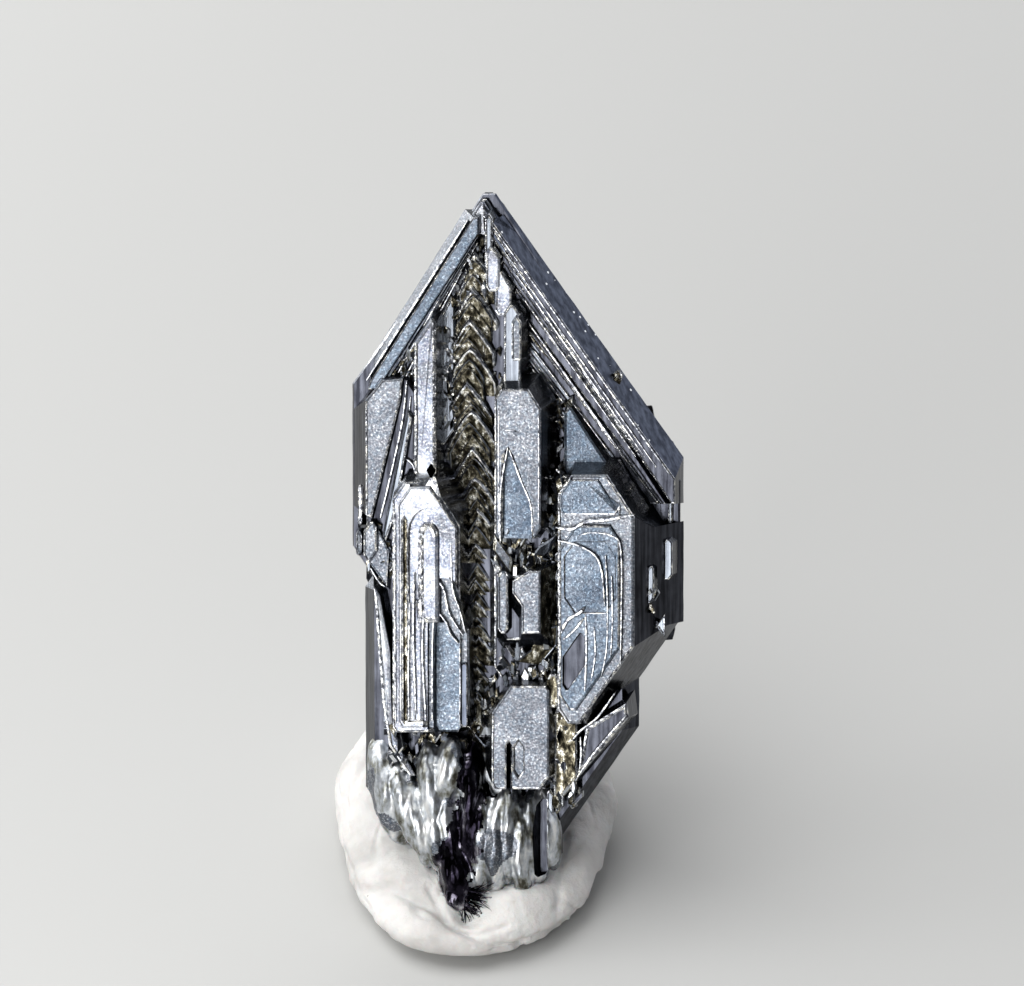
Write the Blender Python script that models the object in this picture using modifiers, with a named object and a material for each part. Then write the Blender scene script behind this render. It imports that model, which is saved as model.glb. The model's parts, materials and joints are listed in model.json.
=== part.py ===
"""A skeletal tellurium crystal, held up by a lump of white mounting putty.

The crystal is one solid. It is put together from flat tablets, the way it grew: each has
upright sides, corners cut along one slant, and walls that widen towards the back.
Tablet sizes are millimetres in the front view: X to the right of the crystal's axis, Y up
from where the axis meets the putty, and a level, which is how far a face stands forward.
"""

import math
import random
from typing import NamedTuple

import bmesh
import bpy
from mathutils import Matrix, Vector

MM = 0.001


class Tablet(NamedTuple):
    """Its sides in the front view, its corner cuts (top left, top right, bottom right,
    bottom left), the level of its front face, and how far back it goes."""

    left: float
    right: float
    bottom: float
    top: float
    cuts: tuple
    level: float
    depth: float


# How the crystal stands, and where the front view looks from (degrees)
LEAN_BACK = 26.0
TURN = 10.0
FRONT_VIEW_RISE = 36.0
ROOT_HEIGHT = 0.6

# Crystal form: slants of the pointed end from upright, and how walls widen with depth
SLANT_LEFT = 34.7
SLANT_RIGHT = 32.8
PRISM_FLARE = 0.577
POINT_FLARE = 0.461
LEDGE_FLARE = 0.30
PLATE_FLARE = 0.14
SLIT_FLARE = -0.03
REAR_FACE_FROM_AXIS = 33.1
REAR_FACE_START = -0.25
WOBBLE = 0.015

# Main bodies: each is widest at its girdle
TIP_TOP = 20.62
MAIN_BODY = Tablet(-3.78, 6.0, 5.6, TIP_TOP, (3.88, 5.5, 1.8, 2.96), 0.4, 3.2)
LOWER_BODY = Tablet(-3.42, 4.75, 1.2, 10.4, (1.0, 2.0, 2.5, 1.13), 1.2, 4.3)
ROOT = Tablet(-1.9, 2.2, -2.6, 4.6, (0.3, 0.3, 0.2, 0.3), 1.4, 3.8)
MAIN_GIRDLE = 0.3
LOWER_GIRDLE = 0.2
ROOT_GIRDLE = -0.2
BROKEN_BASE = 0.62

# Right point face: a rim, and terraces that step down inside it
RIM_LEVEL = 1.05
RIM_FOOT_LEVEL = 0.2
TERRACES = 6
TERRACE_DROP = 0.1
TERRACE_FLARE = 1.2
RIM_DIP = 0.03
RIGHT_CREST = (0.36, 19.8)
RIGHT_CORNER = (5.74, 12.15)
RIGHT_FOOT = 11.4
RIM_WALL_HEAD = (0.2, 19.5)
RIM_WALL_FOOT = (1.75, 15.0)

# Left point face: its rim, with lower terraces inside it
LEFT_CREST = (-0.2, 19.9)
LEFT_CORNER = (-3.25, 15.1)
LEFT_INSETS = (0.2, 0.4, 0.62, 0.9)
LEFT_DROP = 0.12

# The long groove, filled with nested arrowheads
LEDGES = 20
LEDGE_TOP = 18.5
LEDGE_BOTTOM = 5.2
LEDGE_HEIGHT = 2.2
LEDGE_DEPTH = 0.75
LEDGE_DIP = 0.3
LEDGE_LEVEL = 0.85
LEDGE_LEVEL_GAIN = 0.45
LEDGE_RIGHT_REACH = 0.5

# The narrow ridge from the tip down the right side of the groove
TIP_RIDGE = (
    Tablet(0.14, 0.38, 18.4, 20.0, (0.1, 0.1, 0.05, 0.05), 1.1, 0.9),
    Tablet(0.18, 0.6, 17.7, 19.0, (0.1, 0.2, 0.1, 0.1), 1.25, 1.0),
    Tablet(0.45, 0.95, 17.0, 18.3, (0.1, 0.3, 0.1, 0.1), 1.25, 1.0),
    Tablet(0.72, 1.22, 14.6, 17.3, (0.15, 0.2, 0.0, 0.1), 1.5, 1.2),
    Tablet(0.93, 1.23, 15.66, 16.95, (0.12, 0.1, 0.05, 0.05), 1.75, 0.6),
)

# Plates left of the groove
UPPER_STRIP = Tablet(-1.95, -1.29, 12.2, 16.9, (0.54, 0.12, 0.1, 0.1), 1.75, 1.4)
SHOULDER = Tablet(-3.39, -1.9, 9.2, 15.2, (0.42, 0.3, 0.9, 0.35), 1.05, 0.75)
SHOULDER_TAB = Tablet(-3.45, -3.05, 9.75, 10.9, (0.2, 0.1, 0.2, 0.1), 1.4, 1.0)
LONG_SLAB = Tablet(-2.57, -0.57, 4.65, 12.1, (0.36, 0.84, 0.1, 0.1), 2.3, 2.0)
LONG_SLAB_FACE = Tablet(-2.42, -0.72, 4.8, 11.9, (0.36, 0.8, 0.1, 0.1), 2.42, 0.4)
SLAB_STEP = Tablet(-1.4, -0.3, 5.0, 8.0, (0.9, 0.2, 0.1, 0.1), 2.1, 1.5)
WEDGE = ((-2.9, 15.1), (-2.27, 15.15), (-2.34, 14.5), (-3.27, 11.0), (-3.39, 11.1), (-3.39, 14.5))
WEDGE_EDGES = ("top", "right", "right", "bottom", "left", "top_left")
SHOULDER_RIDGE = ((-2.15, 14.2), (-2.0, 14.0), (-2.5, 11.2), (-2.8, 10.3), (-2.9, 10.5))
SHOULDER_RIDGE_EDGES = ("top", "right", "right", "bottom", "left")
LONG_RIDGE = (
    (-3.15, 9.0),
    (-2.95, 8.7),
    (-2.6, 7.0),
    (-2.55, 5.0),
    (-2.25, 4.0),
    (-1.9, 3.3),
    (-2.1, 3.3),
    (-2.7, 4.2),
    (-2.9, 5.5),
)
LONG_RIDGE_EDGES = ("top",) + ("right",) * 4 + ("bottom",) + ("left",) * 3

# Plates right of the groove, from the top down, and the broad plate beside them
RIGHT_PLATES = (
    Tablet(0.45, 1.83, 10.4, 14.82, (0.2, 0.39, 0.2, 0.1), 2.3, 1.5),
    Tablet(0.54, 1.83, 7.5, 9.45, (0.2, 0.3, 0.25, 0.2), 2.35, 1.5),
    Tablet(0.42, 2.3, 6.3, 11.2, (0.2, 0.4, 0.3, 0.2), 1.75, 1.2),
    Tablet(0.36, 2.07, 2.95, 6.05, (0.57, 0.1, 0.27, 0.1), 2.2, 1.4),
    Tablet(2.0, 2.35, 5.4, 6.4, (0.1, 0.1, 0.1, 0.1), 2.05, 0.9),
)
RIGHT_PLATE_LEFT_FLARES = (PLATE_FLARE, 0.35, 0.35, 0.35, PLATE_FLARE)
BROAD_PLATE = Tablet(2.3, 4.59, 4.9, 12.3, (0.4, 0.81, 1.6, 0.3), 2.2, 2.0)
BROAD_PLATE_FACE = Tablet(2.35, 4.15, 5.3, 10.8, (0.5, 0.3, 1.3, 0.3), 2.32, 0.5)
POINT_FACET = Tablet(2.5, 3.75, 12.3, 14.3, (0.1, 1.05, 0.1, 0.1), 1.0, 0.8)
CROSS_LEDGE = ((2.25, 10.7), (4.55, 11.0), (4.55, 10.8), (3.3, 10.6), (2.25, 10.4))
CROSS_LEDGE_EDGES = ("top", "right", "bottom", "bottom", "left")
LEAF = ((3.15, 4.8), (4.35, 5.55), (4.41, 5.1), (2.85, 3.2))
LEAF_EDGES = ("top", "right", "bottom_right", "left")
LOWER_STRIP = Tablet(2.2, 2.9, 2.6, 6.2, (0.2, 0.3, 0.5, 0.1), 1.6, 0.9)

# Half-melted lobes round the root: X, Y, level, half sizes, turn in degrees
LOBES = (
    (-2.55, 2.75, 0.55, (0.62, 1.75, 1.15), 12.0),
    (-1.75, 1.9, 0.95, (0.42, 1.4, 1.05), 14.0),
    (-1.0, 3.4, 1.35, (0.55, 1.2, 0.8), -6.0),
    (-0.4, 1.6, 1.1, (0.6, 2.4, 1.0), 4.0),
    (-0.45, 0.1, 1.35, (0.72, 1.3, 0.95), 8.0),
    (0.45, 1.3, 1.3, (0.4, 1.7, 0.95), -3.0),
    (1.15, 1.2, 1.3, (0.42, 1.6, 0.95), 2.0),
    (1.8, 1.3, 0.9, (0.38, 1.6, 0.95), 4.0),
)

# Hollows sunk into the plates' faces, and the bars left standing in them
HOLLOWS = (
    Tablet(-2.05, -1.2, 7.6, 11.2, (0.25, 0.35, 0.1, 0.1), 2.6, 0.65),
    Tablet(-1.42, -0.8, 5.2, 9.0, (0.1, 0.5, 0.1, 0.1), 2.6, 0.6),
    Tablet(-2.25, -2.05, 5.2, 11.0, (0.1, 0.1, 0.1, 0.1), 2.6, 0.5),
    Tablet(0.68, 1.5, 10.2, 13.0, (0.16, 0.6, 0.05, 0.05), 2.5, 0.55),
    Tablet(0.84, 1.2, 7.2, 9.1, (0.05, 0.05, 0.05, 0.05), 2.6, 0.75),
    Tablet(0.78, 0.9, 2.7, 4.3, (0.05, 0.05, 0.0, 0.0), 2.5, 0.7),
    Tablet(1.0, 1.28, 3.3, 4.4, (0.1, 0.1, 0.1, 0.1), 2.5, 0.45),
    Tablet(2.7, 4.0, 8.2, 10.3, (0.3, 0.3, 0.3, 0.3), 2.6, 0.55),
    Tablet(2.55, 3.5, 5.8, 7.9, (0.6, 0.2, 0.8, 0.1), 2.6, 0.6),
)
BARS = (
    Tablet(-1.8, -1.42, 7.4, 10.9, (0.12, 0.15, 0.1, 0.1), 2.3, 0.7),
    Tablet(-1.3, -0.98, 5.0, 7.7, (0.08, 0.25, 0.1, 0.1), 2.3, 0.7),
    Tablet(1.05, 1.4, 10.1, 11.9, (0.08, 0.25, 0.1, 0.1), 2.2, 0.6),
    Tablet(3.05, 3.3, 5.9, 10.6, (0.08, 0.15, 0.1, 0.1), 2.25, 0.6),
)

# Tablets on the back, sized as seen from behind, and the ledges between them
REAR_PLATES = (
    Tablet(-4.0, -2.5, 6.2, 13.0, (0.5, 0.4, 0.3, 0.8), 2.95, 1.2),
    Tablet(-2.3, -0.55, 4.0, 15.6, (0.9, 0.25, 0.3, 0.5), 3.35, 1.2),
    Tablet(-2.1, -0.9, 8.6, 14.6, (0.6, 0.2, 0.2, 0.4), 3.5, 0.6),
    Tablet(0.35, 1.5, 2.4, 14.0, (0.25, 0.6, 0.4, 0.2), 3.4, 1.2),
    Tablet(0.5, 1.3, 3.2, 8.2, (0.2, 0.4, 0.2, 0.2), 3.55, 0.6),
    Tablet(1.6, 2.4, 5.2, 12.2, (0.2, 0.4, 0.5, 0.2), 3.05, 1.0),
    Tablet(-1.9, -0.6, 1.4, 5.4, (0.3, 0.5, 0.3, 0.5), 3.2, 1.2),
)
REAR_LEDGES = 11
REAR_LEDGE_TOP = 15.2
REAR_LEDGE_STEP = 1.15
REAR_LEDGE_HEIGHT = 2.0
REAR_LEDGE_DIP = 0.2

# Putty
PUTTY_CENTRE = (-0.22, 2.8)
PUTTY_HALF_WIDTH = 4.45
PUTTY_HALF_DEPTH = 6.5
PUTTY_SIDES = 24
PUTTY_FRONT_SHARE = 0.8
PUTTY_BACK_SHARE = 1.4
PUTTY_WAVES = ((3.0, 0.6, 0.02), (5.0, 0.0, 0.015))
PUTTY_RINGS = ((1.3, -0.5), (0.35, -0.1), (0.0, 0.95), (0.5, 1.65), (1.7, 2.05), (3.0, 2.3))
SOCKET_GAP = 0.36
SOCKET_HEIGHTS = (0.0, 0.9, 1.4, 1.9, 2.4, 2.9, 3.4, 4.0)
OUTSIDE_BLOCK = 30.0

BODY_FLARES = {
    "top": LEDGE_FLARE,
    "top_right": POINT_FLARE,
    "right": PRISM_FLARE,
    "bottom_right": POINT_FLARE,
    "bottom": LEDGE_FLARE,
    "bottom_left": POINT_FLARE,
    "left": PRISM_FLARE,
    "top_left": POINT_FLARE,
}
PLATE_FLARES = dict.fromkeys(BODY_FLARES, PLATE_FLARE)
SLIT_FLARES = dict.fromkeys(BODY_FLARES, SLIT_FLARE)
TOUCHING = 1e-6

growth = random.Random(23)


def clear_scene():
    for old in list(bpy.data.objects):
        bpy.data.objects.remove(old, do_unlink=True)


def new_collection(name, parent):
    collection = bpy.data.collections.new(name)
    parent.children.link(collection)
    return collection


def material(name, colour, roughness, metallic):
    made = bpy.data.materials.new(name)
    made.use_nodes = True
    shader = made.node_tree.nodes["Principled BSDF"]
    shader.inputs["Base Color"].default_value = (*colour, 1.0)
    shader.inputs["Roughness"].default_value = roughness
    shader.inputs["Metallic"].default_value = metallic
    made.diffuse_color = (*colour, 1.0)
    return made


# ---- The crystal's own frame: u across, v along the axis, w forward --------------------


def crystal_frame():
    """The matrix from the crystal's frame (millimetres) to the world (metres)."""
    lean = math.radians(LEAN_BACK)
    turn = math.radians(TURN)
    right = Vector((1.0, 0.0, 0.0))
    up = Vector((0.0, math.sin(lean), math.cos(lean)))
    front = Vector((0.0, -math.cos(lean), math.sin(lean)))
    across = math.cos(turn) * right + math.sin(turn) * front
    forward = math.cos(turn) * front - math.sin(turn) * right
    frame = Matrix((across, up, forward)).transposed().to_4x4()
    frame.translation = (0.0, 0.0, ROOT_HEIGHT)
    return Matrix.Scale(MM, 4) @ frame


def from_front_view(x, y, level):
    """The point of the crystal's frame that the front view shows at x, y at this level."""
    turn = math.radians(TURN)
    tilt = math.radians(FRONT_VIEW_RISE - LEAN_BACK)
    across = (x + level * math.sin(turn)) / math.cos(turn)
    towards = across * math.sin(turn) + level * math.cos(turn)
    along = (y + towards * math.sin(tilt)) / math.cos(tilt)
    return (across, along)


# ---- Outlines --------------------------------------------------------------------------


def rise(cut, slant):
    """How far down a corner cut of this width reaches."""
    return cut / math.tan(math.radians(slant))


def cut_outline(tablet):
    """An upright outline whose corners are cut along the crystal's slants: its points,
    clockwise, and the name of the edge that leaves each of them."""
    top_left, top_right, bottom_right, bottom_left = tablet.cuts
    corners = [
        ((tablet.left + top_left, tablet.top), "top"),
        ((tablet.right - top_right, tablet.top), "top_right"),
        ((tablet.right, tablet.top - rise(top_right, SLANT_RIGHT)), "right"),
        ((tablet.right, tablet.bottom + rise(bottom_right, SLANT_LEFT)), "bottom_right"),
        ((tablet.right - bottom_right, tablet.bottom), "bottom"),
        ((tablet.left + bottom_left, tablet.bottom), "bottom_left"),
        ((tablet.left, tablet.bottom + rise(bottom_left, SLANT_RIGHT)), "left"),
        ((tablet.left, tablet.top - rise(top_left, SLANT_LEFT)), "top_left"),
    ]
    points = []
    edges = []
    for index, (point, edge) in enumerate(corners):
        following = corners[(index + 1) % len(corners)][0]
        if math.dist(point, following) > TOUCHING:
            points.append(point)
            edges.append(edge)
    return points, edges


def spread(points, distances):
    """A clockwise outline with each edge moved outwards by its own distance."""
    count = len(points)
    lines = []
    for index in range(count):
        start = Vector(points[index])
        end = Vector(points[(index + 1) % count])
        along = (end - start).normalized()
        outward = Vector((-along.y, along.x))
        lines.append((start + outward * distances[index], along))
    moved = []
    for index in range(count):
        before, along_before = lines[index - 1]
        after, along_after = lines[index]
        cross = along_before.cross(along_after)
        if abs(cross) < TOUCHING:
            moved.append(tuple(after))
            continue
        step = (after - before).cross(along_after) / cross
        moved.append(tuple(before + along_before * step))
    return moved


# ---- Solids in the crystal's frame -----------------------------------------------------


def keep_solid(group, mesh, frame):
    """Puts a finished solid into its group as an object of its own, placed in the world.
    No two faces of a crystal are quite level, so each solid is shifted a hair."""
    shift = Vector([growth.uniform(-WOBBLE, WOBBLE) for axis in range(3)])
    bmesh.ops.transform(mesh, matrix=frame, verts=mesh.verts)
    bmesh.ops.translate(mesh, vec=shift * MM, verts=mesh.verts)
    bmesh.ops.recalc_face_normals(mesh, faces=mesh.faces)
    data = bpy.data.meshes.new(group.name)
    mesh.to_mesh(data)
    mesh.free()
    made = bpy.data.objects.new(group.name, data)
    made.hide_render = True
    made.display_type = "WIRE"
    group.objects.link(made)
    return made


def loft(group, rings):
    """A closed solid through rings of equal count, each a list of (u, v, w)."""
    mesh = bmesh.new()
    count = len(rings[0])
    rows = [[mesh.verts.new(point) for point in ring] for ring in rings]
    mesh.faces.new(rows[0])
    mesh.faces.new(list(reversed(rows[-1])))
    for upper, lower in zip(rows, rows[1:]):
        for index in range(count):
            after = (index + 1) % count
            mesh.faces.new((upper[after], upper[index], lower[index], lower[after]))
    return keep_solid(group, mesh, crystal_frame())


def raised(points, level):
    return [(u, v, level) for u, v in points]


def add_slab(group, points, edges, level, depth, flares=None, dip=0.0):
    """A slab with this front outline, going back by depth. Dip is how far it leans in
    for each millimetre down from its top."""
    sizes = dict(PLATE_FLARES, **(flares or {}))
    front = [from_front_view(x, y, level) for x, y in points]
    back = spread(front, [sizes[edge] * depth for edge in edges])
    highest = max(v for u, v in front)
    levels = [level - dip * (highest - v) for u, v in front]
    face = [(u, v, w) for (u, v), w in zip(front, levels)]
    rear = [(u, v, w - depth) for (u, v), w in zip(back, levels)]
    loft(group, [face, rear])


def add_tablet(group, tablet, flares=None, dip=0.0):
    points, edges = cut_outline(tablet)
    add_slab(group, points, edges, tablet.level, tablet.depth, flares, dip)


def add_body(group, tablet, girdle):
    """A body that is widest at its girdle and narrows to the front and to the back."""
    points, edges = cut_outline(tablet)
    back_level = tablet.level - tablet.depth
    widest = [from_front_view(x, y, girdle) for x, y in points]
    sizes = [BODY_FLARES[edge] for edge in edges]
    front = spread(widest, [-size * (tablet.level - girdle) for size in sizes])
    back = spread(widest, [-size * (girdle - back_level) for size in sizes])
    rings = [raised(front, tablet.level), raised(widest, girdle), raised(back, back_level)]
    return loft(group, rings)


# ---- Front of the crystal --------------------------------------------------------------


def add_main_bodies(group):
    main_body = add_body(group, MAIN_BODY, MAIN_GIRDLE)
    add_body(group, LOWER_BODY, LOWER_GIRDLE)
    add_body(group, ROOT, ROOT_GIRDLE)
    return main_body


def add_right_rim(group):
    """The high rim of the right point face, and the terraces that step down inside it."""
    least_foot = 0.12
    crest_rise = 0.05
    edges = ("top", "top_right", "right", "bottom", "bottom_left", "left")
    flares = {"top_right": POINT_FLARE, "bottom_left": TERRACE_FLARE, "left": 0.1}
    head = Vector(RIM_WALL_HEAD)
    for index in range(TERRACES):
        start = head.lerp(Vector(RIM_WALL_FOOT), index / TERRACES)
        inner_x = start.x + (start.y - RIGHT_FOOT) * math.tan(math.radians(SLANT_RIGHT))
        points = (
            (head.x, RIGHT_CREST[1] + crest_rise),
            RIGHT_CREST,
            RIGHT_CORNER,
            (RIGHT_CORNER[0], RIGHT_FOOT),
            (min(inner_x, RIGHT_CORNER[0] - least_foot), RIGHT_FOOT),
            tuple(start),
        )
        level = RIM_LEVEL - TERRACE_DROP * index
        add_slab(group, points, edges, level, level - RIM_FOOT_LEVEL, flares, RIM_DIP)


def add_left_rim(group):
    """The frosted rim of the left point face, with lower terraces inside it."""
    crest_width = 0.15
    first_drop = 0.3
    foot_rise = 0.25
    foot_inset = 0.08
    slope = 1.3
    edges = ("top", "right", "bottom_right", "bottom", "left", "top_left")
    flares = {"top_left": POINT_FLARE, "bottom_right": 0.5}
    crest_x, crest_y = LEFT_CREST
    corner_x, corner_y = LEFT_CORNER
    for index, inset in enumerate(LEFT_INSETS):
        points = (
            LEFT_CREST,
            (crest_x + crest_width, crest_y),
            (crest_x + crest_width, crest_y - first_drop - inset),
            (corner_x + inset * slope, corner_y - foot_rise),
            (corner_x - foot_inset, corner_y - foot_rise),
            LEFT_CORNER,
        )
        level = RIM_LEVEL - LEFT_DROP * index
        add_slab(group, points, edges, level, level - RIM_FOOT_LEVEL, flares)


def bell(y, middle, width):
    """1 in the middle, falling smoothly to 0 on both sides."""
    return math.exp(-(((y - middle) / width) ** 2))


def groove_centre(y):
    """The groove runs a little left of the axis at mid height."""
    return -0.02 - 0.3 * bell(y, 15.5, 2.6)


def groove_reach(y):
    """How far the groove's arrowheads reach to the left of its centre."""
    return 0.42 + 0.62 * bell(y, 15.2, 2.4)


def add_groove_ledges(group):
    """Nested arrowheads that fill the long groove, each leaning in towards its foot."""
    upright = {"left": 0.0, "right": 0.0}
    for index in range(LEDGES):
        share = index / (LEDGES - 1)
        top = LEDGE_TOP + (LEDGE_BOTTOM - LEDGE_TOP) * share
        centre = groove_centre(top)
        left = centre - groove_reach(top)
        right = centre + LEDGE_RIGHT_REACH
        cuts = (centre - left, right - centre, 0.0, 0.0)
        level = LEDGE_LEVEL + LEDGE_LEVEL_GAIN * share
        ledge = Tablet(left, right, top - LEDGE_HEIGHT, top, cuts, level, LEDGE_DEPTH)
        add_tablet(group, ledge, upright, LEDGE_DIP)


def add_tip_ridge(group):
    for tablet in TIP_RIDGE:
        add_tablet(group, tablet)


def add_left_plates(group):
    sheer_right = {"right": 0.0}
    prism_left = {"left": PRISM_FLARE}
    wedge_level, wedge_depth = 1.25, 0.95
    shoulder_ridge_level, shoulder_ridge_depth = 1.3, 0.6
    long_ridge_level, long_ridge_depth = 1.6, 0.8
    add_tablet(group, UPPER_STRIP, sheer_right)
    add_tablet(group, SHOULDER, prism_left)
    add_slab(group, WEDGE, WEDGE_EDGES, wedge_level, wedge_depth, prism_left)
    add_slab(
        group, SHOULDER_RIDGE, SHOULDER_RIDGE_EDGES, shoulder_ridge_level, shoulder_ridge_depth
    )
    add_tablet(group, SHOULDER_TAB)
    add_tablet(group, LONG_SLAB, sheer_right)
    add_tablet(group, LONG_SLAB_FACE)
    add_tablet(group, SLAB_STEP, sheer_right)
    add_slab(group, LONG_RIDGE, LONG_RIDGE_EDGES, long_ridge_level, long_ridge_depth)


def add_right_plates(group):
    ledge_level, ledge_depth = 2.5, 0.6
    for tablet, left_flare in zip(RIGHT_PLATES, RIGHT_PLATE_LEFT_FLARES):
        add_tablet(group, tablet, {"left": left_flare})
    add_tablet(group, BROAD_PLATE, {"right": PRISM_FLARE, "bottom_right": LEDGE_FLARE})
    add_tablet(group, BROAD_PLATE_FACE)
    add_tablet(group, POINT_FACET)
    add_slab(group, CROSS_LEDGE, CROSS_LEDGE_EDGES, ledge_level, ledge_depth)


def add_lower_right(group):
    leaf_level, leaf_depth = 1.55, 0.9
    add_slab(group, LEAF, LEAF_EDGES, leaf_level, leaf_depth)
    add_tablet(group, LOWER_STRIP)


def add_lobes(group):
    """The half-melted lobes that the crystal ends in above the putty."""
    for x, y, level, half_size, turn in LOBES:
        u, v = from_front_view(x, y, level)
        place = Matrix.Translation((u, v, level))
        place = place @ Matrix.Rotation(math.radians(turn), 4, "Z")
        place = place @ Matrix.Diagonal((*half_size, 1.0))
        mesh = bmesh.new()
        bmesh.ops.create_icosphere(mesh, subdivisions=2, radius=1.0, matrix=place)
        keep_solid(group, mesh, crystal_frame())


# ---- Back of the crystal ---------------------------------------------------------------


def add_rear_tablet(group, tablet, dip=0.0):
    """A tablet on the back: the front's, turned half round about the axis."""
    points, edges = cut_outline(tablet)
    back_level = tablet.depth - tablet.level
    back = spread(points, [PLATE_FLARES[edge] * tablet.depth for edge in edges])
    face = [(-u, v, -tablet.level + dip * (tablet.top - v)) for u, v in points]
    loft(group, [face, [(-u, v, back_level) for u, v in back]])


def add_rear(group):
    left, right, cuts, level, depth = -0.75, 0.5, (0.65, 0.6, 0.0, 0.0), 3.1, 0.7
    for tablet in REAR_PLATES:
        add_rear_tablet(group, tablet)
    for index in range(REAR_LEDGES):
        top = REAR_LEDGE_TOP - REAR_LEDGE_STEP * index
        ledge = Tablet(left, right, top - REAR_LEDGE_HEIGHT, top, cuts, level, depth)
        add_rear_tablet(group, ledge, REAR_LEDGE_DIP)


# ---- Joining ---------------------------------------------------------------------------


def boolean(obj, operation, group):
    """Joins or cuts with every solid of a group at once. The solver is MANIFOLD, because
    EXACT leaves open edges where this many slanting faces cross on so small a piece."""
    modifier = obj.modifiers.new(group.name, "BOOLEAN")
    modifier.operation = operation
    modifier.operand_type = "COLLECTION"
    modifier.collection = group
    modifier.solver = "MANIFOLD"


def add_block_under(group, frame, place):
    """A block far larger than the crystal, with its top face in the plane z = 0 of place."""
    down = Matrix.Translation((0.0, 0.0, -OUTSIDE_BLOCK / 2))
    mesh = bmesh.new()
    bmesh.ops.create_cube(mesh, size=OUTSIDE_BLOCK, matrix=place @ down)
    return keep_solid(group, mesh, frame)


def add_rear_point_face(group):
    """What lies behind the point's rear face, which runs down and back from the tip."""
    tip_x, tip_rise = 0.3, 0.1
    tilt = Matrix.Rotation(math.radians(REAR_FACE_FROM_AXIS), 4, "X")
    u, v = from_front_view(tip_x, TIP_TOP, MAIN_GIRDLE)
    place = Matrix.Translation((u, v + tip_rise, REAR_FACE_START)) @ tilt
    add_block_under(group, crystal_frame(), place)


def add_ground(group):
    """What lies under the crystal's broken base."""
    add_block_under(group, Matrix.Scale(MM, 4), Matrix.Translation((0.0, 0.0, BROKEN_BASE)))


def shells(mesh):
    """The mesh's faces, grouped into the closed shells that they make."""
    left = set(mesh.faces)
    found = []
    while left:
        reached = [left.pop()]
        for face in reached:
            around = {other for edge in face.edges for other in edge.link_faces} & left
            left -= around
            reached.extend(around)
        found.append(reached)
    return sorted(found, key=len)


def keep_largest_shell(obj):
    """Applies the modifiers and drops the specks that Booleans leave at grazing faces."""
    graph = bpy.context.evaluated_depsgraph_get()
    joined = bpy.data.meshes.new_from_object(obj.evaluated_get(graph))
    mesh = bmesh.new()
    mesh.from_mesh(joined)
    for specks in shells(mesh)[:-1]:
        bmesh.ops.delete(mesh, geom=specks, context="FACES")
    mesh.to_mesh(joined)
    mesh.free()
    obj.modifiers.clear()
    obj.data = joined


def build_crystal(parts, cutters):
    grown = new_collection("grown", cutters)
    hollows = new_collection("hollows", cutters)
    bars = new_collection("bars", cutters)
    outside = new_collection("outside", cutters)
    crystal = add_main_bodies(grown)
    add_right_rim(grown)
    add_left_rim(grown)
    add_groove_ledges(grown)
    add_tip_ridge(grown)
    add_left_plates(grown)
    add_right_plates(grown)
    add_lower_right(grown)
    add_lobes(grown)
    add_rear(grown)
    for tablet in HOLLOWS:
        add_tablet(hollows, tablet, SLIT_FLARES)
    for tablet in BARS:
        add_tablet(bars, tablet)
    add_rear_point_face(outside)
    add_ground(outside)
    grown.objects.unlink(crystal)
    parts.objects.link(crystal)
    crystal.name = "tellurium_crystal"
    crystal.hide_render = False
    crystal.display_type = "TEXTURED"
    boolean(crystal, "UNION", grown)
    boolean(crystal, "DIFFERENCE", hollows)
    boolean(crystal, "UNION", bars)
    boolean(crystal, "DIFFERENCE", outside)
    keep_largest_shell(crystal)
    crystal.data.materials.append(material("tellurium", (0.55, 0.57, 0.6), 0.3, 1.0))
    return crystal


# ---- Putty -----------------------------------------------------------------------------


def putty_reach(angle):
    """How far the lump's rim lies from its centre in this direction."""
    across = math.cos(angle) / PUTTY_HALF_WIDTH
    deep = math.sin(angle) / PUTTY_HALF_DEPTH
    waves = sum(size * math.sin(count * angle + start) for count, start, size in PUTTY_WAVES)
    return (1.0 + waves) / math.hypot(across, deep)


def putty_point(angle, inset, height):
    """A point on the ring this far inside the rim. The lump is heaped higher at the back."""
    reach = putty_reach(angle) - inset
    back = 0.5 + 0.5 * math.sin(angle)
    share = PUTTY_FRONT_SHARE + (PUTTY_BACK_SHARE - PUTTY_FRONT_SHARE) * back
    x = PUTTY_CENTRE[0] + reach * math.cos(angle)
    y = PUTTY_CENTRE[1] + reach * math.sin(angle)
    return Vector((x, y, height * share)) * MM


def putty_cage(collection):
    """A coarse cage of rings, from the sunken foot over the rim to the middle of the top."""
    mesh = bmesh.new()
    angles = [-2.0 * math.pi * side / PUTTY_SIDES for side in range(PUTTY_SIDES)]
    rows = []
    for inset, height in PUTTY_RINGS:
        rows.append([mesh.verts.new(putty_point(angle, inset, height)) for angle in angles])
    mesh.faces.new(rows[0])
    mesh.faces.new(list(reversed(rows[-1])))
    for lower, upper in zip(rows, rows[1:]):
        for side in range(PUTTY_SIDES):
            after = (side + 1) % PUTTY_SIDES
            mesh.faces.new((lower[side], lower[after], upper[after], upper[side]))
    bmesh.ops.recalc_face_normals(mesh, faces=mesh.faces)
    data = bpy.data.meshes.new("putty_base")
    mesh.to_mesh(data)
    mesh.free()
    putty = bpy.data.objects.new("putty_base", data)
    collection.objects.link(putty)
    soften = putty.modifiers.new("Soften", "SUBSURF")
    soften.levels = 1
    soften.render_levels = 1
    return putty


def slice_between(source, low, high):
    """A copy of the part of a mesh between two heights (metres)."""
    mesh = bmesh.new()
    mesh.from_mesh(source)
    for height, side in ((low, -1.0), (high, 1.0)):
        geometry = list(mesh.verts) + list(mesh.edges) + list(mesh.faces)
        bmesh.ops.bisect_plane(
            mesh, geom=geometry, plane_co=(0, 0, height), plane_no=(0, 0, side), clear_outer=True
        )
    return mesh


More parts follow.
